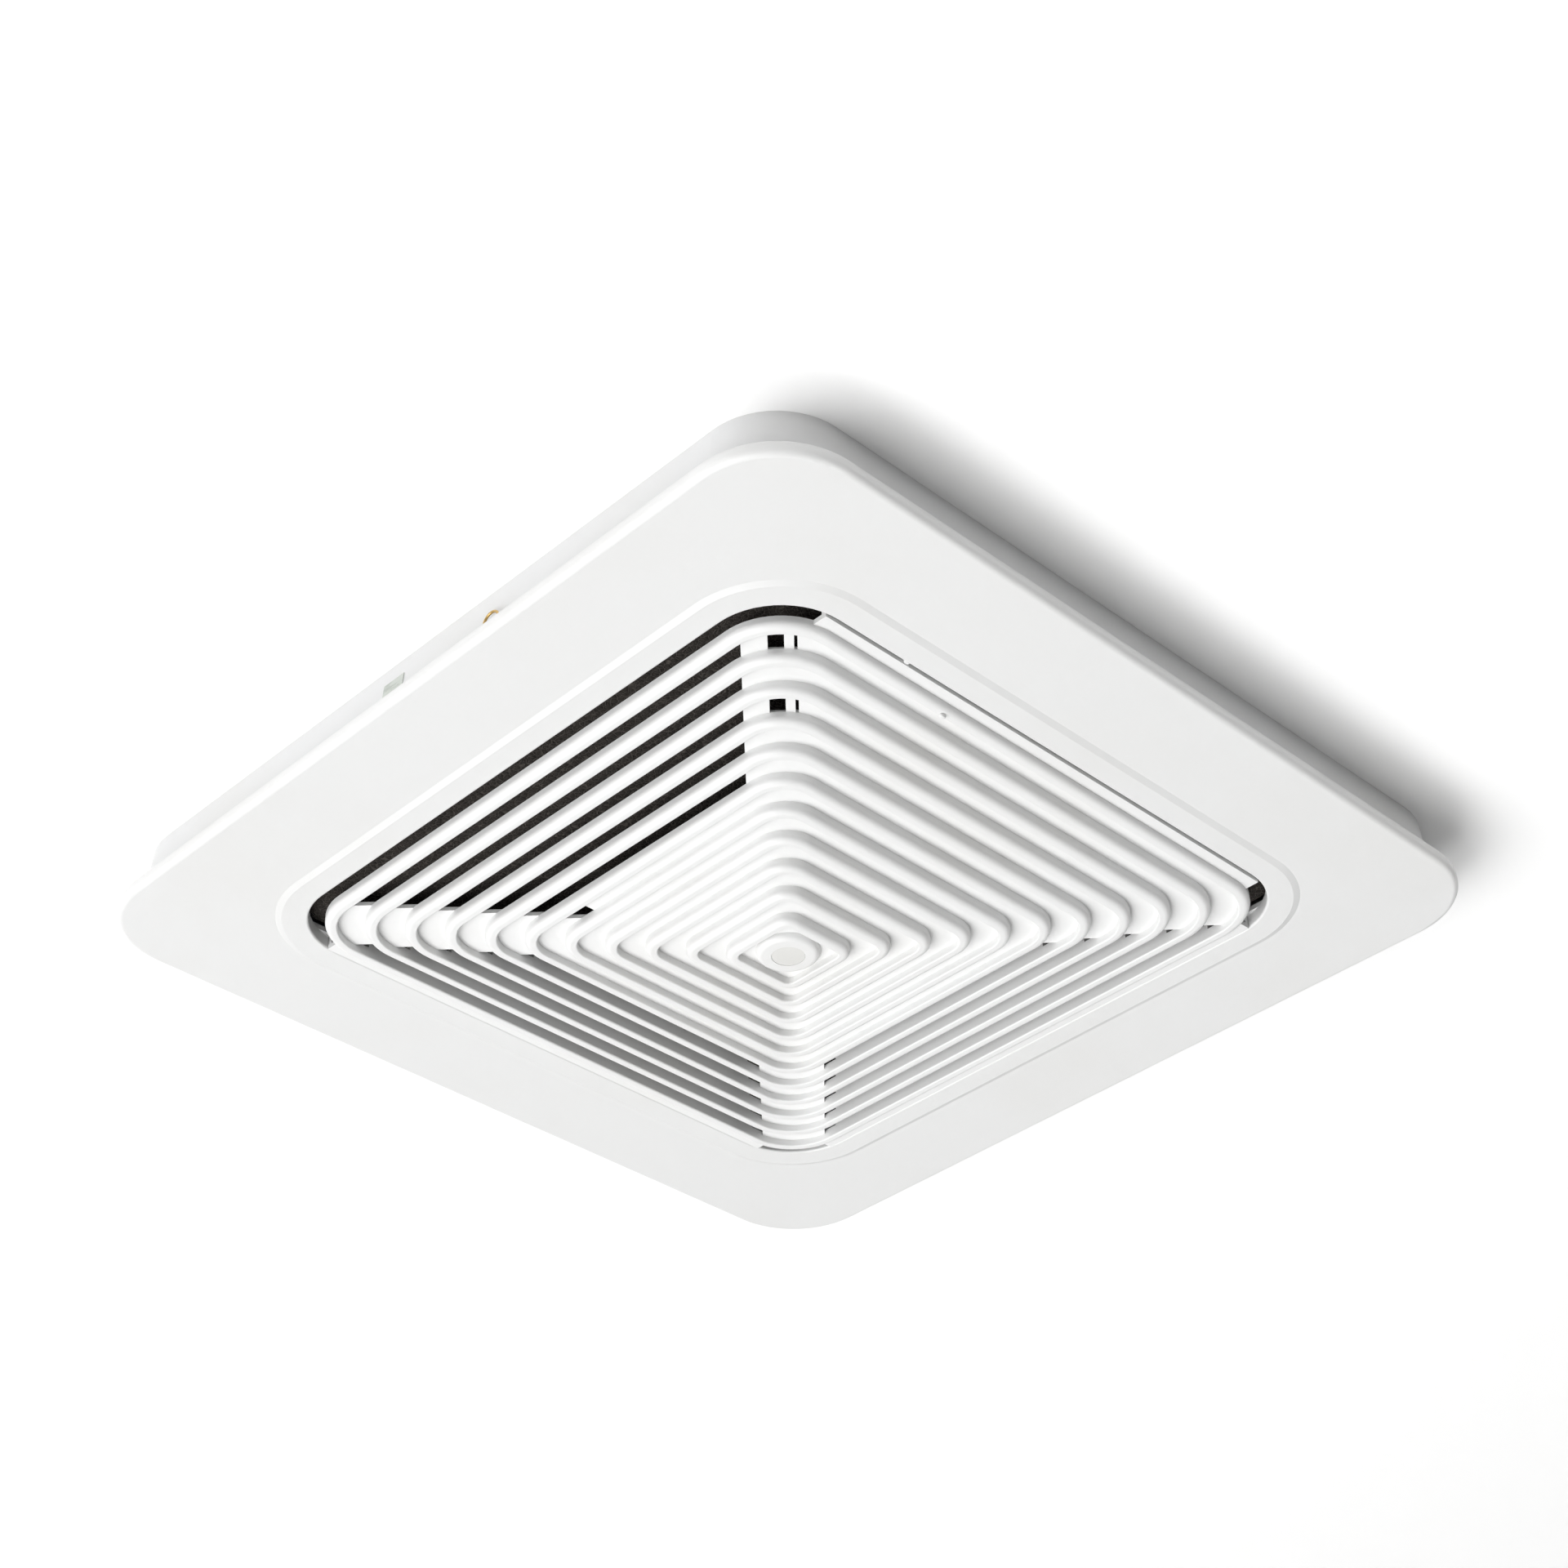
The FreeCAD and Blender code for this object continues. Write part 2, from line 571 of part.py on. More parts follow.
def makeFrame():
    body = newBody("ceiling_frame")
    lean = "atan((frameLow - frameHigh) / frameDepth)"
    plainPad(body, "-frameDepth", "frameDepth", drawSquare, "frameLow", "frameCorner", taper="-" + lean)
    hollow = newSketch(body, "-frameDepth")
    drawSquare(hollow, "frameLow - frameWall", "frameCorner - frameWall")
    pocket(body, hollow, "frameDepth - flangeThick - steel", upward=True, taper="-" + lean)
    seat = newSketch(body)
    drawSquare(seat, "frameHigh - frameWall", "frameCorner - frameWall")
    pocket(body, seat, "steel")
    mouth = newSketch(body)
    drawSquare(mouth, "frameMouth", "6")
    pocket(body, mouth)
    holes = newSketch(body)
    for x, y in fourPlaces("mountX", "mountY"):
        drawCircle(holes, "mountHole", x, y)
    pocket(body, holes)
    nodes.remove(body)
    body.Label = "frame_shell"
    seams = []
    for turn in range(4):
        # one joint line beside each corner, cut to an even depth in the leaning wall
        line = box(("0", "2"), ("-seamHalf", "seamHalf"), ("0", "frameDepth * 1.2"))
        place(line, ("frameLow - seamDepth", "-seamOffset - seamHalf", "-frameDepth"),
              Rotation(Vector(0, 1, 0), -number(lean)))
        turned = doc.addObject("Part::Compound", "seam")
        turned.Links = [line]
        turned.Placement = Placement(Vector(0, 0, 0), Rotation(Vector(0, 0, 1), 90 * turn))
        seams.append(turned)
    node("ceiling_frame", cut(body, *seams))


def makeFrameParts():
    # blank sticker, lying on the leaning wall
    lean = number("atan((frameLow - frameHigh) / frameDepth)")
    label = box(("0", "8.8"), ("0", "0.25"), ("0", "8"))
    foot = "-(frameHigh + (frameLow - frameHigh) * 14 / frameDepth) - 0.27"
    node("side_label", place(label, ("-12.8", foot, "-14"), Rotation(Vector(1, 0, 0), -lean)))
    # wire loop: a half ring with its ends turned in through the wall
    y = "-(frameHigh + (frameLow - frameHigh) * 16 / frameDepth) - 0.9"
    arch = doc.addObject("Part::Torus", "arch")
    bind(arch, {"Radius1": "3", "Radius2": "0.4", "Angle3": "180"})
    place(arch, ("36", y, "-12.9"), Rotation(Vector(1, 0, 0), 90))
    pieces = [arch]
    for x in ("33", "39"):
        pieces.append(cylinder("0.4", "2.2", (x, y, "-15.1")))
        pieces.append(cylinder("0.4", "0.9", (x, y, "-15.1"), "+Y"))
        ball = doc.addObject("Part::Sphere", "elbow")
        bind(ball, {"Radius": "0.4"})
        pieces.append(place(ball, (x, y, "-15.1")))
    node("release_hook", fuse(*pieces))


# the duct collar's screws, as points of the +X wall
collarHoles = [("ductY + (%s)" % x, "ductZ + (%s)" % y)
               for x, y in fourPlaces("collarHalf - 5", "collarHalf - 5")]


def makeHousing():
    body = newBody("housing_box")
    plainPad(body, "0", "housingTop", drawSquare, "housingHalf", "housingCorner")
    flange = newSketch(body, "-steel")
    drawSquare(flange, "flangeHalf", "8")
    pad(body, flange, "steel")
    inside = newSketch(body, "-steel")
    drawSquare(inside, "housingHalf - steel", "housingCorner - steel")
    pocket(body, inside, "housingTop", upward=True)
    holes = newSketch(body)
    for x, y in fourPlaces("mountX", "mountY"):
        drawCircle(holes, "mountHole", x, y)
    pocket(body, holes, "5")
    outlet = newSketch(body, "housingHalf + 5", "YZ_Plane")
    drawCircle(outlet, "spigotRadius - spigotWall", "ductY", "ductZ")
    for x, y in collarHoles:
        drawCircle(outlet, "1.55", x, y)
    pocket(body, outlet, "10")
    # raised bead on the top, and one along each closed wall
    bead = newSketch(body, "housingTop")
    drawSquare(bead, "88", "20")
    drawSquare(bead, "83", "15")
    pad(body, bead, "1.2")
    roundEdges(body, loopEdges(body.Tip.Shape, number("housingTop + 1.2"), 88.0), "0.8")
    access = newSketch(body, "housingHalf + 5", "XZ_Plane")
    drawRounded(access, "33", "14", "2", "-55", "glandZ")
    pocket(body, access, "10")
    return body


def makeHousingParts():
    wall = "housingHalf - steel"
    lugs = []
    for side in ("-1", "1"):
        back = box(("-22", "22"), mirrored(side, wall + " - 1.2", wall), ("0.5", "13"))
        lug = box(("-22", "22"), mirrored(side, "107", wall + " - 1.2"), ("0.5", "1.7"))
        wire = mirrored(side, "hangerOffset - wireRadius - 0.5", "hangerOffset + wireRadius + 0.5")
        slots = [box(mirrored(hand, "9", "legHalf + wireRadius + 0.5"), wire, ("0", "2"))
                 for hand in ("-1", "1")]
        lugs.append(cut(fuse(back, lug), *slots))
    group("wire_brackets", lugs)
    rivets = []
    for side, axis in (("-1", "-X"), ("1", "+X")):
        for y in ("-112", "112"):
            for z in ("18", "66", "116"):
                if side == "1" and y == "112":
                    continue
                rivets.append(cone("2.6", "1.5", "1.2", (side + " * housingHalf", y, z), axis))
    group("housing_rivets", rivets)
    brackets, screws = [], []
    top = "plateLow + plateThick"
    for x, y in fourPlaces("105", "1"):
        sign = "-1" if number(y) < 0 else "1"
        upright = mirrored(sign, wall + " - 1.2", wall)
        shelf = mirrored(sign, "107", wall + " - 1.2")
        side = (x + " - 7", x + " + 7")
        ell = fuse(box(side, upright, (top, top + " + 14")), box(side, shelf, (top, top + " + 1.2")))
        brackets.append(cut(ell, cylinder("1.5", "3", (x, sign + " * 112", top + " - 1"))))
        screws.append(screw((x, sign + " * 112", "plateLow"), "+Z", "3.4", "2", "1.5", "6"))
    group("plate_brackets", brackets)
    group("plate_screws", screws)


# ---- Blower ----------------------------------------------------------------------------------

def bossPlace(arc, signX, signY, centreX, centreY):
    # beside the middle of one of the scroll's quarter arcs, counted from the widest
    out = "(scrollRadius - scrollStep * %d + 5.5) / sqrt(2)" % arc
    return ("%d * scrollStep / 2 + %d * %s" % (centreX, signX, out),
            "%d * scrollStep / 2 + %d * %s" % (centreY, signY, out))


scrollBosses = [bossPlace(0, -1, 1, 1, 1), bossPlace(1, -1, -1, -1, 1), bossPlace(2, 1, -1, -1, -1),
                ("108", "3")]


def makeInletPlate():
    top = "plateLow + plateThick"
    half = "housingHalf - steel - 1"
    plate = squareBlock(half, ("plateLow", top))
    bell = cone("bellWide + bellWall", "bellNarrow + bellWall", "bellRise", (0, 0, "plateLow"))
    mouth = cone("bellWide", "bellNarrow", "bellRise", (0, 0, "plateLow"))
    notches = [box(("-26", "26"), ("-housingHalf", "-105"), ("plateLow - 1", top + " + 1")),
               box(("-26", "26"), ("107", "housingHalf"), ("plateLow - 1", top + " + 1"))]
    screws = fourPlaces("105", "112") + scrollBosses
    holes = [cylinder("1.5", "plateThick", (x, y, "plateLow")) for x, y in screws]
    node("inlet_plate", cut(fuse(plate, bell), mouth, *notches, *holes))


def around(count, start, radius):
    # points evenly spaced on a circle about the shaft
    angles = [start + 360 // count * turn for turn in range(count)]
    return [("(%s) * cos(%ddeg)" % (radius, angle), "(%s) * sin(%ddeg)" % (radius, angle))
            for angle in angles]


motorEars = around(3, 60, "earOffset")


def quarterChain(drawing, steps, firstCentre, firstRadius, shrink):
    # the scroll's outline: quarter arcs whose centres walk round a square, each radius smaller by
    # the square's side; returns the arcs from the widest to the tongue
    arcs = []
    centre = [number(firstCentre[0]), number(firstCentre[1])]
    radius, side = number(firstRadius), number(shrink)
    walk = ((-side, 0), (0, -side), (side, 0))
    for index in range(steps):
        start = math.radians(90 + 90 * index)
        circle = Part.Circle(Vector(centre[0], centre[1], 0), Vector(0, 0, 1), radius)
        sweep = math.pi / 2 if index < 3 else math.radians(40)
        arcs.append(drawing.addGeometry(Part.ArcOfCircle(circle, start, start + sweep)))
        if index < 3:
            centre = [centre[0] + walk[index][0], centre[1] + walk[index][1]]
            radius -= side
    first = arcs[0]
    locate(drawing, first, 3, *firstCentre)
    dimension(drawing, Sketcher.Constraint("Radius", first, number(firstRadius)), firstRadius)
    drawing.addConstraint(Sketcher.Constraint("Vertical", first, 1, first, 3))
    for index, (arc, following) in enumerate(zip(arcs, arcs[1:])):
        across = "Horizontal" if index % 2 == 0 else "Vertical"
        drawing.addConstraint(Sketcher.Constraint(across, arc, 2, arc, 3))
        drawing.addConstraint(Sketcher.Constraint("Coincident", arc, 2, following, 1))
        drawing.addConstraint(Sketcher.Constraint(across, following, 1, following, 3))
        kind = "DistanceX" if index % 2 == 0 else "DistanceY"
        order = (arc, following) if index == 2 else (following, arc)
        dimension(drawing, Sketcher.Constraint(kind, order[0], 3, order[1], 3, side), shrink)
    return arcs


def closeChain(drawing, arcs, corners):
    # straight runs from the last arc's end, through the corners, back to the first arc's start
    start = drawing.getPoint(arcs[-1], 2)
    end = drawing.getPoint(arcs[0], 1)
    points = [start] + [Vector(number(x), number(y), 0) for x, y in corners] + [end]
    lines = [drawing.addGeometry(Part.LineSegment(a, b)) for a, b in zip(points, points[1:])]
    drawing.addConstraint(Sketcher.Constraint("Coincident", arcs[-1], 2, lines[0], 1))
    for line, following, (x, y) in zip(lines, lines[1:], corners):
        drawing.addConstraint(Sketcher.Constraint("Coincident", line, 2, following, 1))
        locate(drawing, line, 2, x, y)
    drawing.addConstraint(Sketcher.Constraint("Coincident", lines[-1], 2, arcs[0], 1))


def makeScroll():
    body = newBody("scroll")
    low = "plateLow + plateThick"
    shift = "scrollStep / 2"
    wall = "housingHalf - steel - 0.4"
    outer = newSketch(body, low)
    arcs = quarterChain(outer, 3, (shift, shift), "scrollRadius + scrollWall", "scrollStep")
    outer.addConstraint(Sketcher.Constraint("Horizontal", arcs[2], 2, arcs[2], 3))
    top = "scrollStep / 2 + scrollRadius + scrollWall"
    closeChain(outer, arcs, [(wall, "-" + shift), (wall, top)])
    pad(body, outer, "scrollTop + scrollWall - (%s)" % low)
    for x, y in scrollBosses[:3]:
        post = newSketch(body, low)
        drawCircle(post, "bossPost", x, y)
        pad(body, post, "20")
    inner = newSketch(body, low)
    arcs = quarterChain(inner, 4, (shift, shift), "scrollRadius", "scrollStep")
    height = Sketcher.Constraint("DistanceY", -1, 1, arcs[3], 2, number("tongueHeight"))
    dimension(inner, height, "tongueHeight")
    beyond = "housingHalf + 2"
    closeChain(inner, arcs, [(beyond, "outletLow"), (beyond, shift + " + scrollRadius")])
    pocket(body, inner, "scrollTop - (%s)" % low, upward=True)
    holes = newSketch(body, "scrollTop - 1")
    drawCircle(holes, "shaftHole")
    for x, y in motorEars:
        drawCircle(holes, "1.7", x, y)
    pocket(body, holes, "5", upward=True)
    pilots = newSketch(body, low)
    for x, y in scrollBosses:
        drawCircle(pilots, "1.5", x, y)
    pocket(body, pilots, "14", upward=True)
    tongue = ["Edge%d" % index for index, edge in enumerate(body.Tip.Shape.Edges, start=1)
              if edge.BoundBox.XLength < 1e-4 and edge.BoundBox.YLength < 1e-4
              and abs(edge.BoundBox.YMin - number("tongueHeight")) < 1e-3 and edge.BoundBox.XMin > 0]
    roundEdges(body, tongue, "3")
    return body


def makeImpeller():
    body = newBody("impeller")
    plainPad(body, "wheelHigh - 2", "2", drawCircle, "wheelRadius")
    hub = newSketch(body, "wheelHigh - 14")
    drawCircle(hub, "11")
    pad(body, hub, "13")
    blade = newSketch(body, "wheelLow + 1")
    centre = Vector(number("bladeMid"), -number("bladeCurve * cos(35deg)"), 0)
    span = (math.radians(55), math.radians(125))
    sides = []
    for text in ("bladeCurve - bladeHalf", "bladeCurve + bladeHalf"):
        circle = Part.Circle(centre, Vector(0, 0, 1), number(text))
        arc = blade.addGeometry(Part.ArcOfCircle(circle, *span))
        locate(blade, arc, 3, "bladeMid", "-bladeCurve * cos(35deg)")
        dimension(blade, Sketcher.Constraint("Radius", arc, number(text)), text)
        sides.append(arc)
    for end, angle in ((1, "55deg"), (2, "125deg")):
        rim = [blade.getPoint(arc, end) for arc in sides]
        line = blade.addGeometry(Part.LineSegment(rim[0], rim[1]))
        for arc, tip in zip(sides, (1, 2)):
            blade.addConstraint(Sketcher.Constraint("Coincident", line, tip, arc, end))
        for arc, text in zip(sides, ("bladeCurve - bladeHalf", "bladeCurve + bladeHalf")):
            x = "bladeMid + (%s) * cos(%s)" % (text, angle)
            dimension(blade, Sketcher.Constraint("DistanceX", -1, 1, arc, end, number(x)), x)
    first = pad(body, blade, "wheelHigh - wheelLow - 2")
    fan = body.newObject("PartDesign::PolarPattern", "fan")
    fan.Originals = [first]
    fan.Axis = ([item for item in body.Origin.OriginFeatures if item.Role == "Z_Axis"][0], [""])
    fan.Angle = 360
    bind(fan, {"Occurrences": "bladeCount"})
    finish(body, fan)
    ring = newSketch(body, "wheelLow")
    drawCircle(ring, "wheelRadius")
    drawCircle(ring, "wheelRadius - 6.5")
    pad(body, ring, "3")
    bore = newSketch(body, "wheelHigh")
    drawCircle(bore, "shaftRadius")
    pocket(body, bore)
    return body


def makeMotor():
    shaftLow, shaftHigh = "wheelHigh - 19", "motorHigh - shellWall - 0.4"
    rod = cylinder("shaftRadius", "(%s) - (%s)" % (shaftHigh, shaftLow), (0, 0, shaftLow))
    flat = box(("shaftRadius - 0.6", "shaftRadius + 1"), ("-5", "5"), (shaftLow, shaftLow + " + 4"))
    node("motor_shaft", cut(rod, flat))
    foot = (0, 0, "wheelHigh - 18.5")
    node("shaft_nut", cut(hexagon("6.5", "4.5", foot), cylinder("shaftRadius + 0.04", "5", foot)))
    node("rotor_core", tube("22", "shaftRadius + 0.04", "coreHigh - coreLow + 2", (0, 0, "coreLow - 1")))
    slots = [cylinder("3.2", "30", (x, y, "coreLow - 5")) for x, y in around(12, 0, "29")]
    core = cut(tube("motorRadius", "22.6", "coreHigh - coreLow", (0, 0, "coreLow")), *slots)
    node("stator_core", core)
    low, high = "motorLow + shellWall", "motorHigh - shellWall"
    coilLow = tube("36", "25", "coreLow - (%s) - 1" % low, (0, 0, low + " + 1"))
    coilHigh = tube("36", "25", "(%s) - coreHigh - 1" % high, (0, 0, "coreHigh"))
    wires = [cylinder("2.9", "coreHigh - coreLow", (x, y, "coreLow")) for x, y in around(12, 0, "29")]
    node("stator_coils", fuse(coilLow, coilHigh, *wires))
    for label, base, floor, bearing in (
            ("motor_lower_bell", "motorLow", "motorLow", low),
            ("motor_upper_bell", "coreHigh", high, high + " - bearingHeight")):
        height = "coreLow - motorLow" if base == "motorLow" else "motorHigh - coreHigh"
        shell = tube("motorRadius", "motorRadius - shellWall", height, (0, 0, base))
        cover = cylinder("motorRadius", "shellWall", (0, 0, floor))
        seat = tube("bearingRadius + 2", "bearingRadius", "bearingHeight", (0, 0, bearing))
        shape = fuse(shell, cover, seat)
        if base == "motorLow":
            shape = cut(shape, cylinder("6", "shellWall * 2", (0, 0, "motorLow - 0.5")))
        node(label, shape)
    for label, level in (("bearing_lower", low), ("bearing_upper", high + " - bearingHeight")):
        node(label, tube("bearingRadius", "shaftRadius + 0.04", "bearingHeight", (0, 0, level)))
    under = "scrollTop + scrollWall + 4"
    arms = []
    for turn in range(3):
        arm = fuse(box(("0", "earOffset"), ("-9", "9"), (under, under + " + 1.5")),
                   cylinder("9", "1.5", ("earOffset", 0, under)))
        arm.Placement = Placement(Vector(0, 0, 0), Rotation(Vector(0, 0, 1), 120 * turn + 60))
        arms.append(arm)
    holes = [cylinder("1.7", "3", (x, y, under + " - 1")) for x, y in motorEars]
    node("motor_plate", cut(fuse(cylinder("motorRadius", "1.5", (0, 0, under)), *arms),
                            cylinder("shaftHole", "3", (0, 0, under + " - 1")), *holes))
    group("motor_grommets", [tube("6", "1.7", "4", (x, y, "scrollTop + scrollWall")) for x, y in motorEars])
    heads = [(x, y, under + " + 1.5") for x, y in motorEars]
    group("motor_screws", [screw(head, "-Z", "3.2", "2", "1.6", "7.4") for head in heads])
    canLevel = "scrollTop + scrollWall + 15.5"
    can = cylinder("14", "42", ("-100", "45", canLevel), "+X")
    cap = cylinder("12.5", "2.5", ("-58", "45", canLevel), "+X")
    node("capacitor", fuse(can, cap))
    feet = box(("-84", "-74"), ("24", "66"), ("scrollTop + scrollWall", "scrollTop + scrollWall + 1.2"))
    strap = cut(fuse(cylinder("15", "10", ("-84", "45", canLevel), "+X"), feet),
                cylinder("14", "10", ("-84", "45", canLevel), "+X"),
                box(("-85", "-73"), ("20", "70"), ("scrollTop", "scrollTop + scrollWall")))
    node("capacitor_strap", strap)


# ---- Wiring ----------------------------------------------------------------------------------

def makeWiring():
    wall = "-(housingHalf - steel)"
    x = ("-97", "-13")
    deep = wall + " + boxDepth"
    tray = cut(box(x, (wall, deep), ("boxLow", "boxHigh")),
               box(("-95.4", "-14.6"), (wall, deep + " - 1.6"), ("boxLow + 1.6", "boxHigh - 1.6")),
               cylinder("2.5", "4", ("-22", deep + " - 3", "boxHigh - 6"), "+Y"))
    node("wiring_box", tray)
    block = []
    for left in ("-52", "-43", "-34"):
        way = box((left, left + " + 9"), (wall + " + 15", deep + " - 1.6"), ("104", "118"))
        block.append(cut(way, cylinder("1.8", "8", (left + " + 4.5", wall + " + 15", "111"), "+Y")))
    node("terminal_block", fuse(*block))
    screws = [("-92", "glandZ"), ("-18", "glandZ")]
    front = "-(housingHalf + steel)"
    cover = cut(box(x, (front, "-housingHalf"), ("glandZ - 19", "glandZ + 19")),
                cylinder("8", "4", ("glandX", front + " - 1", "glandZ"), "+Y"),
                *[cylinder("1.5", "4", (sx, front + " - 1", sz), "+Y") for sx, sz in screws])
    node("wiring_cover", cover)
    group("cover_screws", [screw((sx, front, sz), "+Y", "3.2", "2", "1.5", "1") for sx, sz in screws])
    body = fuse(cylinder("8", "16", ("glandX", front + " - 5", "glandZ"), "+Y"),
                hexagon("12", "5", ("glandX", front + " - 5", "glandZ"), "+Y"))
    bore = cylinder("4.2", "30", ("glandX", front + " - 10", "glandZ"), "+Y")
    node("cable_gland", cut(body, bore))
    dome = fuse(hexagon("11.5", "7", ("glandX", front + " - 5", "glandZ"), "-Y"),
                cone("9.8", "6.5", "6", ("glandX", front + " - 12", "glandZ"), "-Y"))
    node("gland_nut", cut(dome, cylinder("4.2", "30", ("glandX", front + " + 5", "glandZ"), "-Y")))
    locknut = cut(hexagon("11.5", "4", ("glandX", "-housingHalf", "glandZ"), "+Y"),
                  cylinder("8", "6", ("glandX", "-housingHalf - 1", "glandZ"), "+Y"))
    node("gland_locknut", locknut)
    washer = tube("6", "2", "1", ("12", "-housingHalf - 1", "glandZ"), "+Y")
    earth = screw(("12", "-housingHalf - 1", "glandZ"), "+Y", "4.2", "2.6", "2", "1")
    node("earth_screw", fuse(washer, earth))
    lead = cylinder("2.4", "boxDepth + 30", ("-22", deep + " - 1.6", "boxHigh - 6"), "+Y")
    node("motor_lead", cut(lead, cylinder("motorRadius", "60", (0, 0, "boxHigh - 30"))))
    plug = fuse(cylinder("11", "2", ("-housingHalf", "-55", "glandZ"), "-X"),
                cone("11", "8", "1.5", ("-housingHalf - 2", "-55", "glandZ"), "-X"))
    node("blanking_plug", plug)
    node("rating_label", box(("-housingHalf - 0.2", "-housingHalf"), ("-20", "50"), ("50", "92")))


# ---- Duct outlet -----------------------------------------------------------------------------

def makeCollar():
    body = newBody("duct_collar")
    bore = "spigotRadius - spigotWall"
    flange = newSketch(body, "housingHalf", "YZ_Plane")
    drawRounded(flange, "collarHalf", "collarHalf", "5", "ductY", "ductZ")
    pad(body, flange, "collarFlange")
    spigot = newSketch(body, "housingHalf", "YZ_Plane")
    drawCircle(spigot, "spigotRadius", "ductY", "ductZ")
    pad(body, spigot, "ductEnd - housingHalf")
    duct = newSketch(body, "ductEnd + 1", "YZ_Plane")
    drawCircle(duct, bore, "ductY", "ductZ")
    pocket(body, duct, "ductEnd - housingHalf + 2")
    corners = newSketch(body, "housingHalf + 3", "YZ_Plane")
    for x, y in collarHoles:
        drawCircle(corners, "1.55", x, y)
    pocket(body, corners, "5")
    nodes.remove(body)
    body.Label = "collar_shell"
    # stops that the flap closes against: below the pin on the housing's side, above it on the duct's
    stops = []
    for x, span in (("flapX - flapThick / 2 - 0.3 - 1.6", ("ductZ - spigotRadius", "ductZ + flapRise - 6")),
                    ("flapX + flapThick / 2 + 0.3", ("ductZ + flapRise + 6", "ductZ + spigotRadius"))):
        ring = tube(bore + " + 0.3", bore + " - 3", "1.6", (x, "ductY", "ductZ"), "+X")
        keep = box((x, x + " + 1.6"), ("ductY - 60", "ductY + 60"), span)
        part = doc.addObject("Part::Common", "stop")
        part.Base, part.Tool = ring, keep
        stops.append(part)
    pinHoles = cylinder("flapPinRadius + 0.05", "120", ("flapX", "ductY - 60", "ductZ + flapRise"), "+Y")
    node("duct_collar", cut(fuse(body, *stops), pinHoles))
    group("collar_screws", [screw(("housingHalf + collarFlange", x, y), "-X", "3", "1.9", "1.5", "6")
                            for x, y in collarHoles])


def makeFlap():
    back = ("flapX - flapThick / 2", "ductY", "ductZ")
    disc = cylinder("spigotRadius - spigotWall - flapGap", "flapThick", back, "+X")
    barrel = cylinder("2.6", "84", ("flapX", "ductY - 42", "ductZ + flapRise"), "+Y")
    weight = box(("flapX + flapThick / 2", "flapX + flapThick / 2 + 3"), ("ductY - 11", "ductY + 11"),
                 ("ductZ - 38", "ductZ - 31"))
    bore = cylinder("flapPinRadius", "100", ("flapX", "ductY - 50", "ductZ + flapRise"), "+Y")
    node("damper_flap", cut(fuse(disc, barrel, weight), bore))
    node("damper_pin", cylinder("flapPinRadius", "2 * spigotRadius - 2",
                                ("flapX", "ductY - spigotRadius + 1", "ductZ + flapRise"), "+Y"))


makeBezel()
makeGrille()
makePanelParts()
makeHanger("hanger_wire_front", "-1")
makeHanger("hanger_wire_back", "1")
makeFrame()
makeFrameParts()
makeHousing()
makeHousingParts()
makeInletPlate()
makeScroll()
group("scroll_screws", [screw((x, y, "plateLow"), "+Z", "3.4", "2", "1.5", "12") for x, y in scrollBosses])
makeImpeller()
makeMotor()
makeWiring()
makeCollar()
makeFlap()
doc.recompute()

for thing in doc.Objects:
    if "Invalid" in thing.State or "Error" in thing.State:
        raise RuntimeError("%s (%s) failed" % (thing.Label, thing.Name))
os.makedirs("parts", exist_ok=True)
for thing in nodes:
    shape = thing.Shape
    if shape.isNull() or not shape.isValid() or not shape.Solids:
        raise RuntimeError("%s has no sound shape" % thing.Label)
    shape.exportStep("parts/%s.step" % thing.Label)
    limits = shape.BoundBox
    print("%-20s %2d solid(s) %9.0f mm3  x %7.1f %7.1f  y %7.1f %7.1f  z %7.1f %7.1f" % (
        thing.Label, len(shape.Solids), shape.Volume, limits.XMin, limits.XMax,
        limits.YMin, limits.YMax, limits.ZMin, limits.ZMax))
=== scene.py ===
import bpy
import json
import numpy as np
from mathutils import Matrix, Vector


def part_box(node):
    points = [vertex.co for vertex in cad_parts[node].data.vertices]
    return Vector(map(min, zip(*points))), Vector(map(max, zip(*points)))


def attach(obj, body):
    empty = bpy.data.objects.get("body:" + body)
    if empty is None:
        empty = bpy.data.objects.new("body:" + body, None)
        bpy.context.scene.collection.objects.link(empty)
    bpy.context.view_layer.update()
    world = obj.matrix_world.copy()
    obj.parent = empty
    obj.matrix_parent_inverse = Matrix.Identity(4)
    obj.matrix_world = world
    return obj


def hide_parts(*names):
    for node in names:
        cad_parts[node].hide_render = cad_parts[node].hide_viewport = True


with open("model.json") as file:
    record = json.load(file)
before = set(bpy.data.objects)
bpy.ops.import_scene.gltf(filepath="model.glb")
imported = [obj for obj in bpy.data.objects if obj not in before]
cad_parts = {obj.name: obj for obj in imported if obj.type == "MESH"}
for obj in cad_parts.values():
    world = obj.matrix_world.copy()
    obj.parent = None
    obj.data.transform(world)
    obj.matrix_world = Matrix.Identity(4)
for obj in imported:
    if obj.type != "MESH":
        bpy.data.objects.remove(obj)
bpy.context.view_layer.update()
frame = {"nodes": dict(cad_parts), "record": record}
nodes = frame["nodes"]
print("frame loaded:", len(nodes), "nodes")


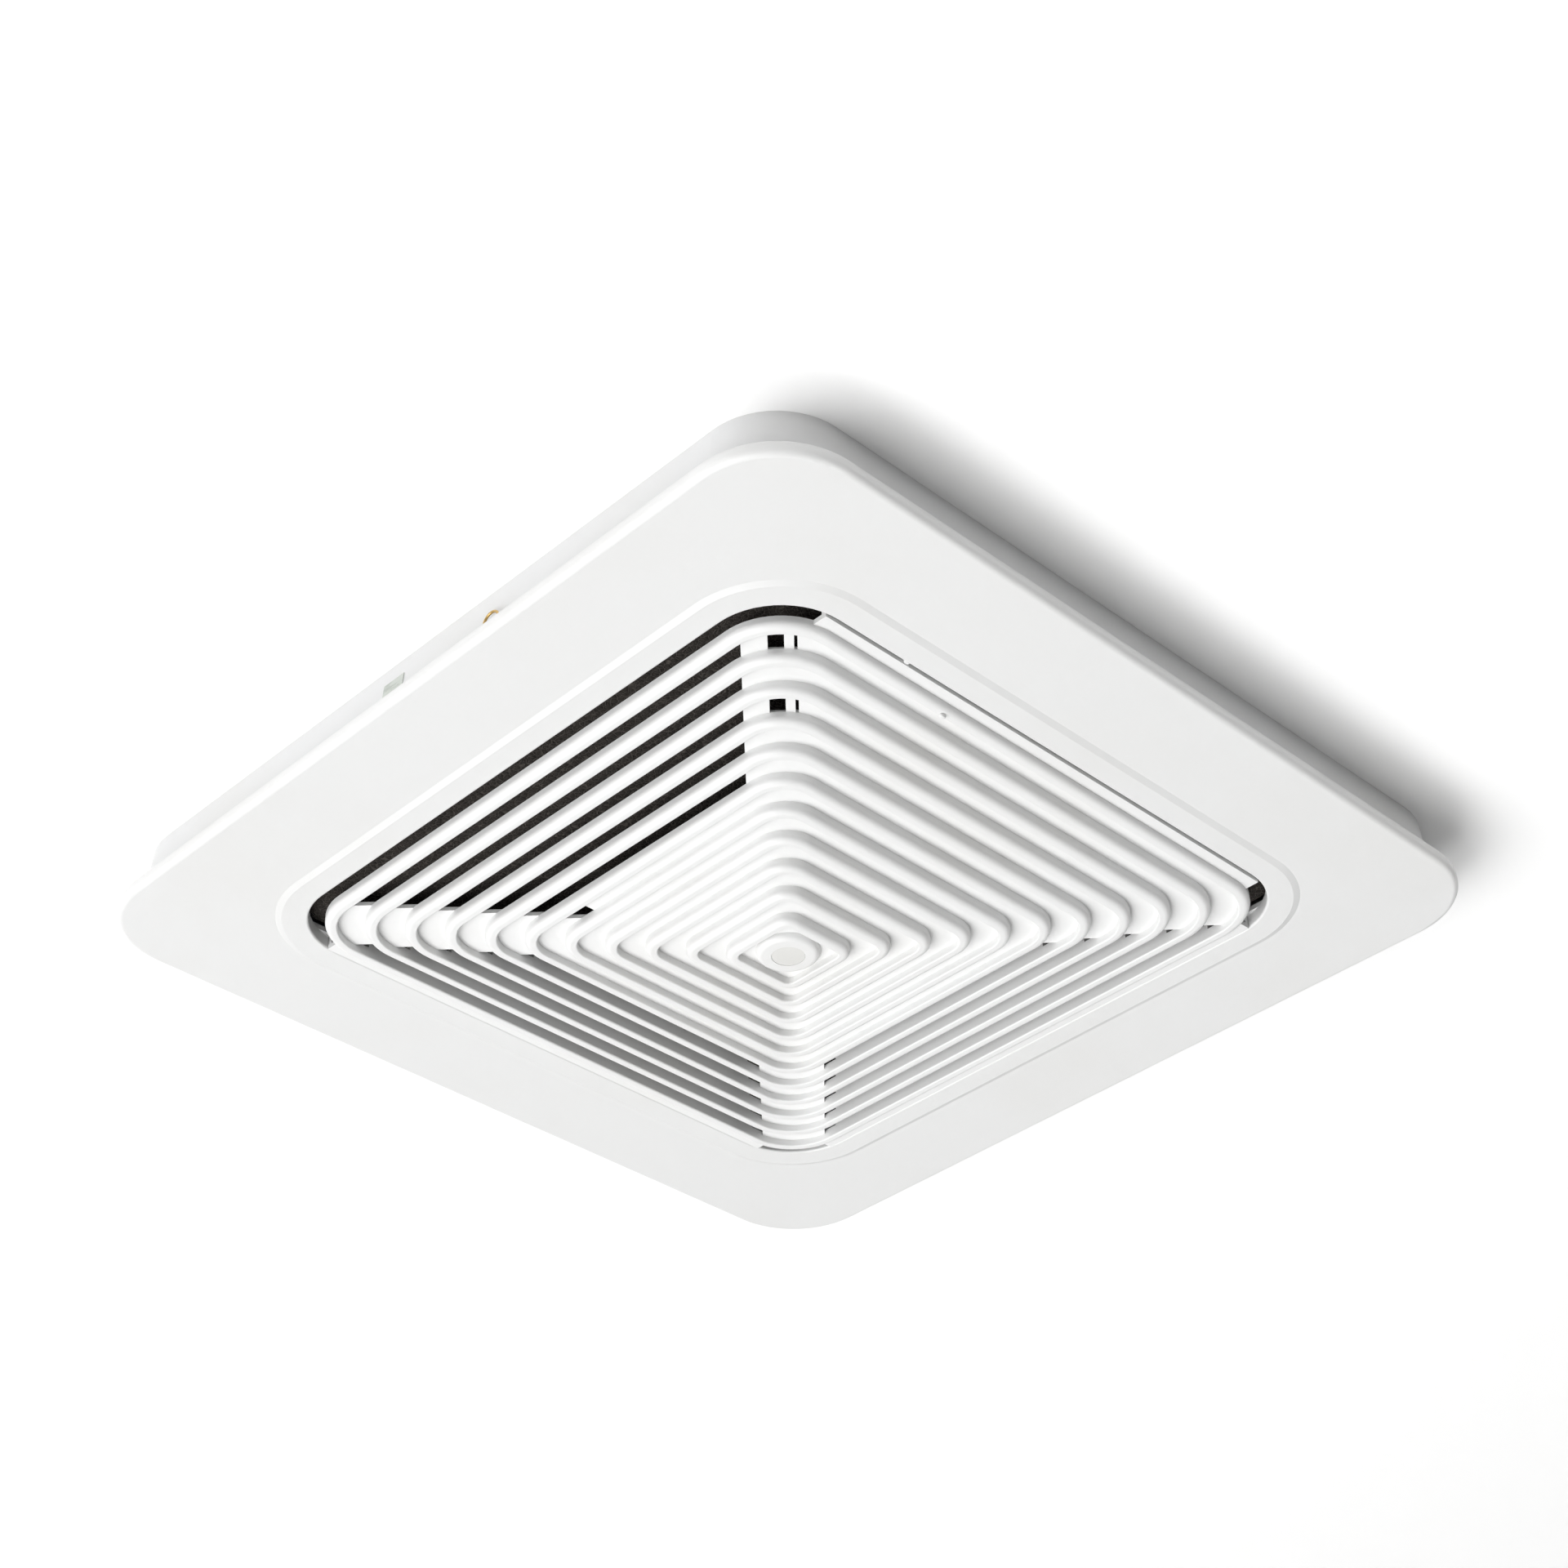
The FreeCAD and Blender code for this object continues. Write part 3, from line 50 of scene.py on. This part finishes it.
class Flow:
    # one socket of a node tree; arithmetic on it adds Math nodes
    def __init__(self, tree, socket):
        self.tree = tree
        self.socket = socket

    def math(self, operation, *others):
        return self.tree.add("Math", {"operation": operation}, dict(enumerate((self,) + others)))

    def __add__(self, other):
        return self.math("ADD", other)

    def __radd__(self, other):
        return self.math("ADD", other)

    def __sub__(self, other):
        return self.math("SUBTRACT", other)

    def __rsub__(self, other):
        return self.tree.add("Math", {"operation": "SUBTRACT"}, {0: other, 1: self})

    def __mul__(self, other):
        return self.math("MULTIPLY", other)

    def __rmul__(self, other):
        return self.math("MULTIPLY", other)

    def __truediv__(self, other):
        return self.math("DIVIDE", other)

    def __rtruediv__(self, other):
        return self.tree.add("Math", {"operation": "DIVIDE"}, {0: other, 1: self})

    def __pow__(self, other):
        return self.math("POWER", other)

    def between(self, low, high):
        # 0 below low, 1 above high, smooth between
        return self.tree.add("MapRange", {"interpolation_type": "SMOOTHSTEP"},
                             {"Value": self, "From Min": low, "From Max": high})


class Finish:
    # a material whose Principled shader holds the constants; what varies is linked in
    def __init__(self, name, colour, roughness, metallic=0.0, **constants):
        self.material = bpy.data.materials.new(name)
        self.material.use_nodes = True
        self.material.diffuse_color = tuple(colour) + (1.0,)
        self.nodes = self.material.node_tree.nodes
        self.links = self.material.node_tree.links
        self.surface = self.nodes["Principled BSDF"]
        self.surface.inputs["Base Color"].default_value = tuple(colour) + (1.0,)
        self.surface.inputs["Roughness"].default_value = roughness
        self.surface.inputs["Metallic"].default_value = metallic
        for socketName, value in constants.items():
            self.surface.inputs[socketName.replace("_", " ")].default_value = value

    def add(self, kind, settings=None, inputs=None, output=0):
        # any node: its type, its settings, then the values or links of its sockets
        made = self.nodes.new("ShaderNode" + kind)
        for key, value in (settings or {}).items():
            if key == "stops":
                ramp = made.color_ramp
                for index, (place, tint) in enumerate(value):
                    stop = ramp.elements[index] if index < 2 else ramp.elements.new(place)
                    stop.position = place
                    stop.color = tuple(tint) + (1.0,)
            else:
                setattr(made, key, value)
        for key, value in (inputs or {}).items():
            self.feed(made.inputs[key], value)
        return Flow(self, made.outputs[output])

    def feed(self, socket, value):
        if isinstance(value, Flow):
            self.links.new(value.socket, socket)
        else:
            socket.default_value = value

    def place(self, scale=(1, 1, 1), turn=(0, 0, 0)):
        # object coordinates in metres, stretched per axis
        where = self.add("TexCoord", output=3)
        return self.add("Mapping", None, {"Vector": where, "Scale": scale, "Rotation": turn})

    def noise(self, scale, detail=3.0, roughness=0.55, where=None, distortion=0.0):
        return self.add("TexNoise", None, {"Vector": where or self.place(), "Scale": scale, "Detail": detail,
                                           "Roughness": roughness, "Distortion": distortion})

    def cells(self, scale, where=None, feature="F1", output=0, randomness=1.0):
        return self.add("TexVoronoi", {"feature": feature},
                        {"Vector": where or self.place(), "Scale": scale, "Randomness": randomness}, output)

    def tint(self, factor, first, second):
        mixed = self.add("Mix", {"data_type": "RGBA"}, {0: factor}, output=2)
        mixer = mixed.socket.node
        for socket, value in ((mixer.inputs[6], first), (mixer.inputs[7], second)):
            self.feed(socket, value if isinstance(value, Flow) else tuple(value) + (1.0,))
        return mixed

    def paint(self, flow):
        self.feed(self.surface.inputs["Base Color"], flow)

    def polish(self, flow):
        self.feed(self.surface.inputs["Roughness"], flow)

    def relief(self, height, depth, strength=1.0):
        # depth in metres
        bump = self.add("Bump", None, {"Height": height, "Distance": depth, "Strength": strength})
        self.feed(self.surface.inputs["Normal"], bump)


plastic = {
    "peelSize": 520.0, "peelDepth": 0.00004, "cloudSize": 14.0,
    "panel": (0.755, 0.757, 0.753), "panelWarm": (0.737, 0.735, 0.725), "panelRough": 0.34,
    "grille": (0.79, 0.792, 0.788), "grilleWarm": (0.77, 0.767, 0.755), "grilleRough": 0.4,
    "frame": (0.73, 0.732, 0.735), "frameWarm": (0.71, 0.708, 0.7), "frameRough": 0.5,
    "cap": (0.72, 0.72, 0.7), "capWarm": (0.66, 0.655, 0.63), "capRough": 0.5,
}


def mouldedWhite(name, key):
    # soft clouds of a slightly warmer white, and the faint peel of a polished mould
    finish = Finish(name, plastic[key], plastic[key + "Rough"])
    clouds = finish.noise(plastic["cloudSize"], 4.0).between(0.42, 0.68)
    finish.paint(finish.tint(clouds * 0.7, plastic[key], plastic[key + "Warm"]))
    peel = finish.noise(plastic["peelSize"], 2.0)
    scuffs = finish.noise(90.0, 5.0, 0.7, finish.place((1.0, 3.0, 1.0))).between(0.55, 0.75)
    finish.polish(plastic[key + "Rough"] + 0.1 * scuffs + 0.05 * peel)
    finish.relief(peel, plastic["peelDepth"])
    return finish.material


def foamBlack():
    # open cells: dark pits between thin lighter strands; the pits' darker colour is painted shade, and the
    # relief sinks them too
    finish = Finish("foamBlack", (0.03, 0.027, 0.024), 0.95)
    pores = finish.cells(620.0)
    strandsAndPitShade = finish.cells(620.0, feature="DISTANCE_TO_EDGE").between(0.0, 0.16)
    tone = finish.noise(60.0, 4.0)
    base = finish.tint(tone, (0.022, 0.018, 0.015), (0.045, 0.038, 0.032))
    # painted shade: the colour darkens away from the strands, inside each cell
    finish.paint(finish.tint(strandsAndPitShade, (0.085, 0.075, 0.065), base))
    finish.relief(pores * -1.0 + strandsAndPitShade * -0.5, 0.0011)
    return finish.material


def darkPlastic(name, colour, roughness, grain=900.0):
    # fine spark-eroded grain with lighter handling marks
    finish = Finish(name, colour, roughness)
    marks = finish.noise(34.0, 5.0, 0.65).between(0.5, 0.75)
    lighter = tuple(min(1.0, part * 1.25 + 0.012) for part in colour)
    finish.paint(finish.tint(marks, colour, lighter))
    texture = finish.noise(grain, 3.0, 0.7)
    finish.polish(roughness + 0.12 * marks - 0.06 * texture)
    finish.relief(texture, 0.00008)
    return finish.material


def galvanisedSheet():
    # zinc crystals: each cell has its own tone and gloss
    finish = Finish("galvanisedSheet", (0.5, 0.52, 0.54), 0.4, 1.0)
    cell = finish.cells(75.0, output=1)
    shade = finish.add("SeparateColor", None, {0: cell})
    fine = finish.noise(240.0, 4.0, 0.7)
    finish.paint(finish.tint(shade * 0.75 + fine * 0.25, (0.38, 0.4, 0.42), (0.66, 0.68, 0.7)))
    streaks = finish.noise(18.0, 5.0, 0.6, finish.place((4.0, 4.0, 0.7))).between(0.45, 0.75)
    finish.polish(0.3 + 0.2 * shade + 0.12 * streaks)
    finish.relief(shade * 0.4 + fine * 0.2, 0.00003)
    return finish.material


def plainMetal(name, colour, roughness, stretch=(1.0, 1.0, 1.0), scale=420.0):
    # drawn or turned metal: stretched noise in tone, gloss and relief
    finish = Finish(name, colour, roughness, 1.0)
    lines = finish.noise(scale, 4.0, 0.65, finish.place(stretch))
    dull = finish.noise(45.0, 4.0).between(0.45, 0.7)
    darker = tuple(part * 0.72 for part in colour)
    finish.paint(finish.tint(lines * 0.5 + dull * 0.4, colour, darker))
    finish.polish(roughness + 0.16 * dull + 0.1 * lines)
    finish.relief(lines, 0.00003)
    return finish.material


def laminationStack():
    # 0.5 mm sheets along the axis
    finish = Finish("laminationStack", (0.3, 0.31, 0.33), 0.45, 0.9)
    sheets = finish.add("TexWave", {"bands_direction": "Z", "wave_profile": "SIN"},
                        {"Vector": finish.place(), "Scale": 320.0, "Distortion": 0.2})
    rust = finish.noise(120.0, 5.0, 0.7).between(0.55, 0.8)
    tone = finish.tint(sheets, (0.16, 0.165, 0.175), (0.42, 0.43, 0.45))
    finish.paint(finish.tint(rust * 0.5, tone, (0.25, 0.14, 0.08)))
    finish.polish(0.35 + 0.25 * rust + 0.1 * sheets)
    finish.relief(sheets, 0.0002)
    return finish.material


def enamelledCopper():
    # turns of wire lying side by side; the dark grooves between the turns are painted shade
    finish = Finish("enamelledCopper", (0.5, 0.2, 0.08), 0.28, 0.85, Coat_Weight=0.6, Coat_Roughness=0.15)
    turnsAndGrooveShade = finish.add("TexWave", {"bands_direction": "DIAGONAL"},
                       {"Vector": finish.place(), "Scale": 300.0, "Distortion": 1.5, "Detail": 2.0})
    tone = finish.noise(60.0, 3.0)
    copper = finish.tint(tone, (0.42, 0.15, 0.05), (0.62, 0.28, 0.12))
    # painted shade: the near-black colour between turns stands in for shade in the grooves
    finish.paint(finish.tint(turnsAndGrooveShade, (0.12, 0.04, 0.015), copper))
    finish.relief(turnsAndGrooveShade, 0.0003)
    return finish.material


def softRubber(name, colour):
    finish = Finish(name, colour, 0.75)
    bloom = finish.noise(70.0, 5.0, 0.6).between(0.45, 0.8)
    finish.paint(finish.tint(bloom, colour, tuple(part + 0.03 for part in colour)))
    finish.polish(0.66 + 0.2 * bloom)
    finish.relief(finish.noise(700.0, 2.0), 0.00005)
    return finish.material


def blankFoil(name, colour, border):
    # a printed film with nothing on it but uneven ink
    finish = Finish(name, colour, 0.42)
    weave = finish.noise(900.0, 2.0)
    ink = finish.noise(150.0, 3.0, 0.6, finish.place((1.0, 1.0, 4.0))).between(0.5, 0.62)
    finish.paint(finish.tint(ink * 0.5, colour, border))
    finish.polish(0.36 + 0.2 * weave)
    finish.relief(weave, 0.00003)
    return finish.material


finishOfSlot = {
    "panel_white": mouldedWhite("panelWhite", "panel"),
    "grille_white": mouldedWhite("grilleWhite", "grille"),
    "cap_white": mouldedWhite("capWhite", "cap"),
    "frame_white": mouldedWhite("frameWhite", "frame"),
    "foam_dark": foamBlack(),
    "retainer_black": darkPlastic("retainerBlack", (0.03, 0.03, 0.031), 0.55),
    "spring_steel": plainMetal("springWire", (0.5, 0.5, 0.51), 0.3, (3.0, 3.0, 0.3)),
    "zinc_screw": plainMetal("zincScrews", (0.66, 0.67, 0.66), 0.26),
    "brass_wire": plainMetal("brassWire", (0.62, 0.42, 0.16), 0.28, (2.0, 2.0, 0.5)),
    "sticker": blankFoil("blankSticker", (0.55, 0.58, 0.54), (0.3, 0.34, 0.3)),
    "galvanised": galvanisedSheet(),
    "rivet_steel": plainMetal("rivetHeads", (0.68, 0.68, 0.69), 0.34),
    "scroll_plastic": mouldedWhite("scrollWhite", "cap"),
    "impeller_plastic": mouldedWhite("impellerWhite", "frame"),
    "shaft_steel": plainMetal("groundSteel", (0.58, 0.58, 0.6), 0.22, (2.0, 2.0, 0.2)),
    "laminations": laminationStack(),
    "copper_coil": enamelledCopper(),
    "motor_shell": plainMetal("motorShell", (0.5, 0.52, 0.54), 0.36, (1.0, 1.0, 6.0)),
    "bearing_steel": plainMetal("bearingSteel", (0.62, 0.62, 0.64), 0.16),
    "grommet_rubber": softRubber("grommetRubber", (0.02, 0.02, 0.02)),
    "capacitor_white": mouldedWhite("capacitorWhite", "cap"),
    "box_plastic": darkPlastic("boxBlack", (0.045, 0.046, 0.048), 0.5),
    "terminal_plastic": darkPlastic("terminalCream", (0.62, 0.58, 0.46), 0.45),
    "gland_plastic": darkPlastic("glandBlack", (0.05, 0.05, 0.052), 0.42, 600.0),
    "lead_grey": softRubber("leadSheath", (0.18, 0.18, 0.18)),
    "plug_plastic": darkPlastic("plugBlack", (0.035, 0.035, 0.035), 0.5),
    "collar_plastic": darkPlastic("collarGrey", (0.1, 0.1, 0.105), 0.48, 500.0),
    "flap_plastic": darkPlastic("flapGrey", (0.5, 0.5, 0.48), 0.5),
    "plate_label": blankFoil("ratingFoil", (0.6, 0.61, 0.61), (0.35, 0.36, 0.37)),
}
for part in frame["record"]["subparts"]:
    dressed = nodes[part["node"]]
    dressed.data.materials.clear()
    dressed.data.materials.append(finishOfSlot[part["material_slot"]])
print("finishes given:", len(finishOfSlot))


def closedMesh(name, grid, ends=None):
    # grid[i, j] is point j of ring i. Each ring closes on itself; the rings close on each other too,
    # or, where two end points are given, the first and last ring close on those.
    rings, sides = grid.shape[:2]
    here = np.arange(rings * sides).reshape(rings, sides)
    beside = np.roll(here, -1, axis=1)
    if ends is None:
        around = [here, beside, np.roll(beside, -1, axis=0), np.roll(here, -1, axis=0)]
    else:
        around = [here[:-1], beside[:-1], beside[1:], here[1:]]
    quads = np.stack(around, axis=-1).reshape(-1, 4)
    points = grid.reshape(-1, 3)
    faceSets = [quads]
    triangles = np.vstack([quads[:, [0, 1, 2]], quads[:, [0, 2, 3]]])
    if ends is not None:
        first, last = rings * sides, rings * sides + 1
        points = np.vstack([points, ends])
        starts = np.stack([np.full(sides, first), beside[0], here[0]], axis=-1)
        stops = np.stack([np.full(sides, last), here[-1], beside[-1]], axis=-1)
        faceSets += [starts, stops]
        triangles = np.vstack([triangles, starts, stops])
    a, b, c = (points[triangles[:, side]] for side in range(3))
    # six times the volume is below 0 if the faces point inwards
    if np.einsum("ij,ij->i", a, np.cross(b, c)).sum() < 0:
        faceSets = [corners[:, ::-1] for corners in faceSets]
    faces = sum((corners.tolist() for corners in faceSets), [])
    mesh = bpy.data.meshes.new(name)
    mesh.from_pydata(points.tolist(), [], faces)
    mesh.polygons.foreach_set("use_smooth", np.ones(len(faces), bool))
    piece = bpy.data.objects.new(name, mesh)
    bpy.context.scene.collection.objects.link(piece)
    return piece


def dress(piece, body, slotName):
    piece.data.materials.append(finishOfSlot[slotName])
    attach(piece, body)
    return piece


foam = {
    "perSide": 72, "acrossSteps": 34, "edgeRound": 0.0022, "squareness": 30.0,
    "hubRadius": 0.006, "holeGap": 0.0004, "topGap": 0.00005, "inset": 0.0004,
    "pinch": 0.0006, "ripple": 0.00012, "rippleSize": 0.019, "sideBelly": 0.0008,
}


def makeFoam():
    # Across the sheet: from the centre hole along the underside, round the outer edge, back along
    # the top and round the hole's edge. Round the sheet: along a square with slightly round corners,
    # half / (|cos|^n + |sin|^n)^(1/n). The underside pinches up towards the edges and ripples.
    low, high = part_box("foam_filter")
    half = high.x - foam["inset"]
    hole = foam["hubRadius"] + foam["holeGap"]
    along = np.arctan(np.linspace(-1.0, 1.0, foam["perSide"], endpoint=False))
    angle = np.concatenate([along + quarter * np.pi / 2 for quarter in range(4)])[:, None]
    power = foam["squareness"]
    reach = half / (np.abs(np.cos(angle)) ** power + np.abs(np.sin(angle)) ** power) ** (1 / power)
    share = np.linspace(0.0, 1.0, foam["acrossSteps"])
    edge = foam["edgeRound"]
    bend = np.linspace(-np.pi / 2, np.pi / 2, 13)[1:-1]
    thick = high.z - low.z
    outShare = np.concatenate([share, np.ones(len(bend)), share[::-1], np.zeros(len(bend))])
    inward = edge * (1 - 2 * share)
    outEdge = -edge + (edge + foam["sideBelly"] * np.cos(bend)) * np.cos(bend)
    step = np.concatenate([inward, outEdge, inward[::-1], edge - edge * np.cos(bend)])
    rise = (1 + np.sin(bend)) / 2
    height = np.concatenate([np.zeros(len(share)), rise, np.ones(len(share)), rise[::-1]])
    distance = outShare * reach + (1 - outShare) * hole + step
    x, y = distance * np.cos(angle), distance * np.sin(angle)
    crown = (1 - np.clip(np.abs(x) / half, 0, 1) ** 4) * (1 - np.clip(np.abs(y) / half, 0, 1) ** 4)
    wave = 2 * np.pi / foam["rippleSize"]
    ripple = np.sin(x * wave + 0.7 * np.sin(y * wave * 0.6)) * np.cos(y * wave * 0.9)
    lift = (foam["pinch"] * (1 - crown) + foam["ripple"] * (1 + ripple)) * (1 - height)
    z = low.z + thick * height + lift - foam["topGap"] * height
    piece = closedMesh("foamSheet", np.stack([x, y, z], axis=-1))
    dress(piece, "panel", "foam_dark")
    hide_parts("foam_filter")


def makeRod(name, path, radius, body, slotName):
    # a round rod along a path of points, with domed ends: radius * sqrt(1 - (distance to the dome's
    # foot / dome)^2) over the last radius of its length
    path = np.array(path, float)
    runs = np.linalg.norm(np.diff(path, axis=0), axis=1)
    travelled = np.concatenate([[0.0], np.cumsum(runs)])
    dome = radius * np.sin(np.linspace(0.12, 1.0, 5) * np.pi / 2)
    gone = radius - radius * np.cos(np.linspace(0.12, 1.0, 5) * np.pi / 2)
    middle = np.linspace(radius, travelled[-1] - radius, max(6, len(path) * 2))[1:-1]
    stations = np.concatenate([gone, middle, travelled[-1] - gone[::-1]])
    widths = np.concatenate([dome, np.full(len(middle), radius), dome[::-1]])
    line = np.stack([np.interp(stations, travelled, path[:, axis]) for axis in range(3)], axis=-1)
    forward = np.gradient(line, axis=0)
    forward /= np.linalg.norm(forward, axis=1)[:, None]
    aside = np.cross(forward, np.array([0.31, 0.17, 0.94]))
    aside /= np.linalg.norm(aside, axis=1)[:, None]
    above = np.cross(forward, aside)
    turn = np.linspace(0, 2 * np.pi, 12, endpoint=False)[None, :, None]
    outward = np.cos(turn) * aside[:, None] + np.sin(turn) * above[:, None]
    grid = line[:, None] + widths[:, None, None] * outward
    return dress(closedMesh(name, grid, np.array([path[0], path[-1]])), body, slotName)


curl = {"x": -0.0152, "level": -0.0152, "standOff": 0.0007, "radius": 0.0013, "wire": 0.0003}


def makeCurl():
    # an open loop of thin wire at the sticker's lower corner: three quarters of a circle and a tail
    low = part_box("side_label")[0]
    turn = np.radians(np.linspace(-60.0, 230.0, 26))
    x = curl["x"] + curl["radius"] * np.cos(turn)
    z = curl["level"] + 1.5 * curl["radius"] * np.sin(turn)
    y = low.y - curl["standOff"] + 0.0004 * np.sin(turn / 2)
    makeRod("stickerCurl", np.stack([x, y, z], axis=-1), curl["wire"], "housing", "brass_wire")


lumps = {
    # moulding marks: name: centre, half sizes, turn about Z in degrees
    "openingNib": ((0.1076, -0.0600, -0.0222), (0.0010, 0.0011, 0.0010), 0.0),
    "barNib": ((0.1010, -0.0392, -0.0258), (0.0007, 0.0011, 0.0009), 0.0),
}


def makeLumps():
    # superellipsoids: each axis is sign(t) |t|^0.6 of the sphere's, times the half size
    for name, (centre, sizes, turned) in lumps.items():
        polar = np.linspace(0.0, np.pi, 12)[1:-1, None]
        lap = np.linspace(0.0, 2 * np.pi, 20, endpoint=False)[None, :]
        ball = [np.sin(polar) * np.cos(lap), np.sin(polar) * np.sin(lap), np.cos(polar) + 0 * lap]
        x, y, z = (size * np.sign(part) * np.abs(part) ** 0.6 for size, part in zip(sizes, ball))
        angle = np.radians(turned)
        across = x * np.cos(angle) - y * np.sin(angle)
        grid = np.stack([across, x * np.sin(angle) + y * np.cos(angle), z], axis=-1)
        poles = np.array([(0, 0, sizes[2]), (0, 0, -sizes[2])]) + centre
        dress(closedMesh(name, grid + np.array(centre), poles), "panel", "grille_white")


makeFoam()
makeCurl()
makeLumps()
print("foam, curl and moulding marks made")


room = {
    "ceilingReach": 4.0, "cutOut": 0.1215, "floorLevel": -3.6, "floorReach": 6.0,
    "ceilingTone": 0.97, "floorTone": 0.85,
    "cameraPlace": (0.5191, -0.5139, -0.5170), "cameraAim": (0.0153, -0.0155, 0.0096),
    "cameraRoll": -1.12, "lens": 67.46, "filmWidth": 36.0, "skyStrength": 0.2,
}


def stageMaterial(name, tone, oneSided):
    finish = Finish(name, (tone, tone, tone), 0.9)
    speckle = finish.noise(30.0, 4.0)
    finish.paint(finish.tint(speckle, (tone, tone, tone), (tone * 0.985, tone * 0.985, tone * 0.98)))
    if oneSided:
        # seen from above, the ceiling lets the view through to the housing
        clear = finish.add("BsdfTransparent")
        behind = finish.add("NewGeometry", output=6)
        solid = Flow(finish, finish.surface.outputs[0])
        mixed = finish.add("MixShader", None, {0: behind, 1: solid, 2: clear})
        finish.feed(finish.nodes["Material Output"].inputs["Surface"], mixed)
    return finish.material


def flatMesh(name, corners, faces, material):
    mesh = bpy.data.meshes.new(name)
    mesh.from_pydata([tuple(corner) for corner in corners], [], faces)
    mesh.materials.append(material)
    thing = bpy.data.objects.new(name, mesh)
    bpy.context.scene.collection.objects.link(thing)
    return thing


def makeRoom():
    reach, gap = room["ceilingReach"], room["cutOut"]
    square = np.array([(-1, -1), (1, -1), (1, 1), (-1, 1)], float)
    rim = np.vstack([square * reach, square * gap])
    corners = np.column_stack([rim, np.zeros(8)])
    faces = [(side, 4 + side, 4 + (side + 1) % 4, (side + 1) % 4) for side in range(4)]
    flatMesh("ceiling", corners, faces, stageMaterial("ceilingPaint", room["ceilingTone"], True))
    ground = np.column_stack([square * room["floorReach"], np.full(4, room["floorLevel"])])
    flatMesh("floor", ground, [(0, 1, 2, 3)], stageMaterial("floorPaint", room["floorTone"], False))


lamps = {
    # name: place, aim, size, power
    "window": ((-0.85, -2.1, -3.0), (0.0, 0.0, -0.02), 4.2, 185.0),
    "below": ((-1.3, 0.4, -3.1), (0.0, 0.0, -0.02), 1.6, 22.0),
}


def makeLights():
    for name, (place, aim, size, power) in lamps.items():
        light = bpy.data.lights.new(name, "AREA")
        light.shape = "DISK"
        light.size = size
        light.energy = power
        lamp = bpy.data.objects.new(name, light)
        lamp.location = place
        lamp.rotation_euler = (Vector(aim) - Vector(place)).to_track_quat("-Z", "Y").to_euler()
        bpy.context.scene.collection.objects.link(lamp)
    world = bpy.data.worlds.new("paleRoom")
    world.use_nodes = True
    world.node_tree.nodes["Background"].inputs["Color"].default_value = (1.0, 1.0, 1.0, 1.0)
    world.node_tree.nodes["Background"].inputs["Strength"].default_value = room["skyStrength"]
    bpy.context.scene.world = world
    bpy.context.scene.view_settings.view_transform = "Standard"


def makeCamera():
    lens = bpy.data.cameras.new("viewer")
    lens.lens = room["lens"]
    lens.sensor_width = room["filmWidth"]
    lens.clip_start = 0.01
    lens.clip_end = 50.0
    viewer = bpy.data.objects.new("viewer", lens)
    place, aim = Vector(room["cameraPlace"]), Vector(room["cameraAim"])
    back = (place - aim).normalized()
    right = Vector((0.0, 0.0, 1.0)).cross(back).normalized()
    up = back.cross(right)
    roll = np.radians(room["cameraRoll"])
    turnedRight = right * np.cos(roll) + up * np.sin(roll)
    turnedUp = up * np.cos(roll) - right * np.sin(roll)
    turn = Matrix((turnedRight, turnedUp, back)).transposed()
    viewer.matrix_world = Matrix.Translation(place) @ turn.to_4x4()
    bpy.context.scene.collection.objects.link(viewer)
    bpy.context.scene.camera = viewer


makeRoom()
makeLights()
makeCamera()
print("room, light and camera set")
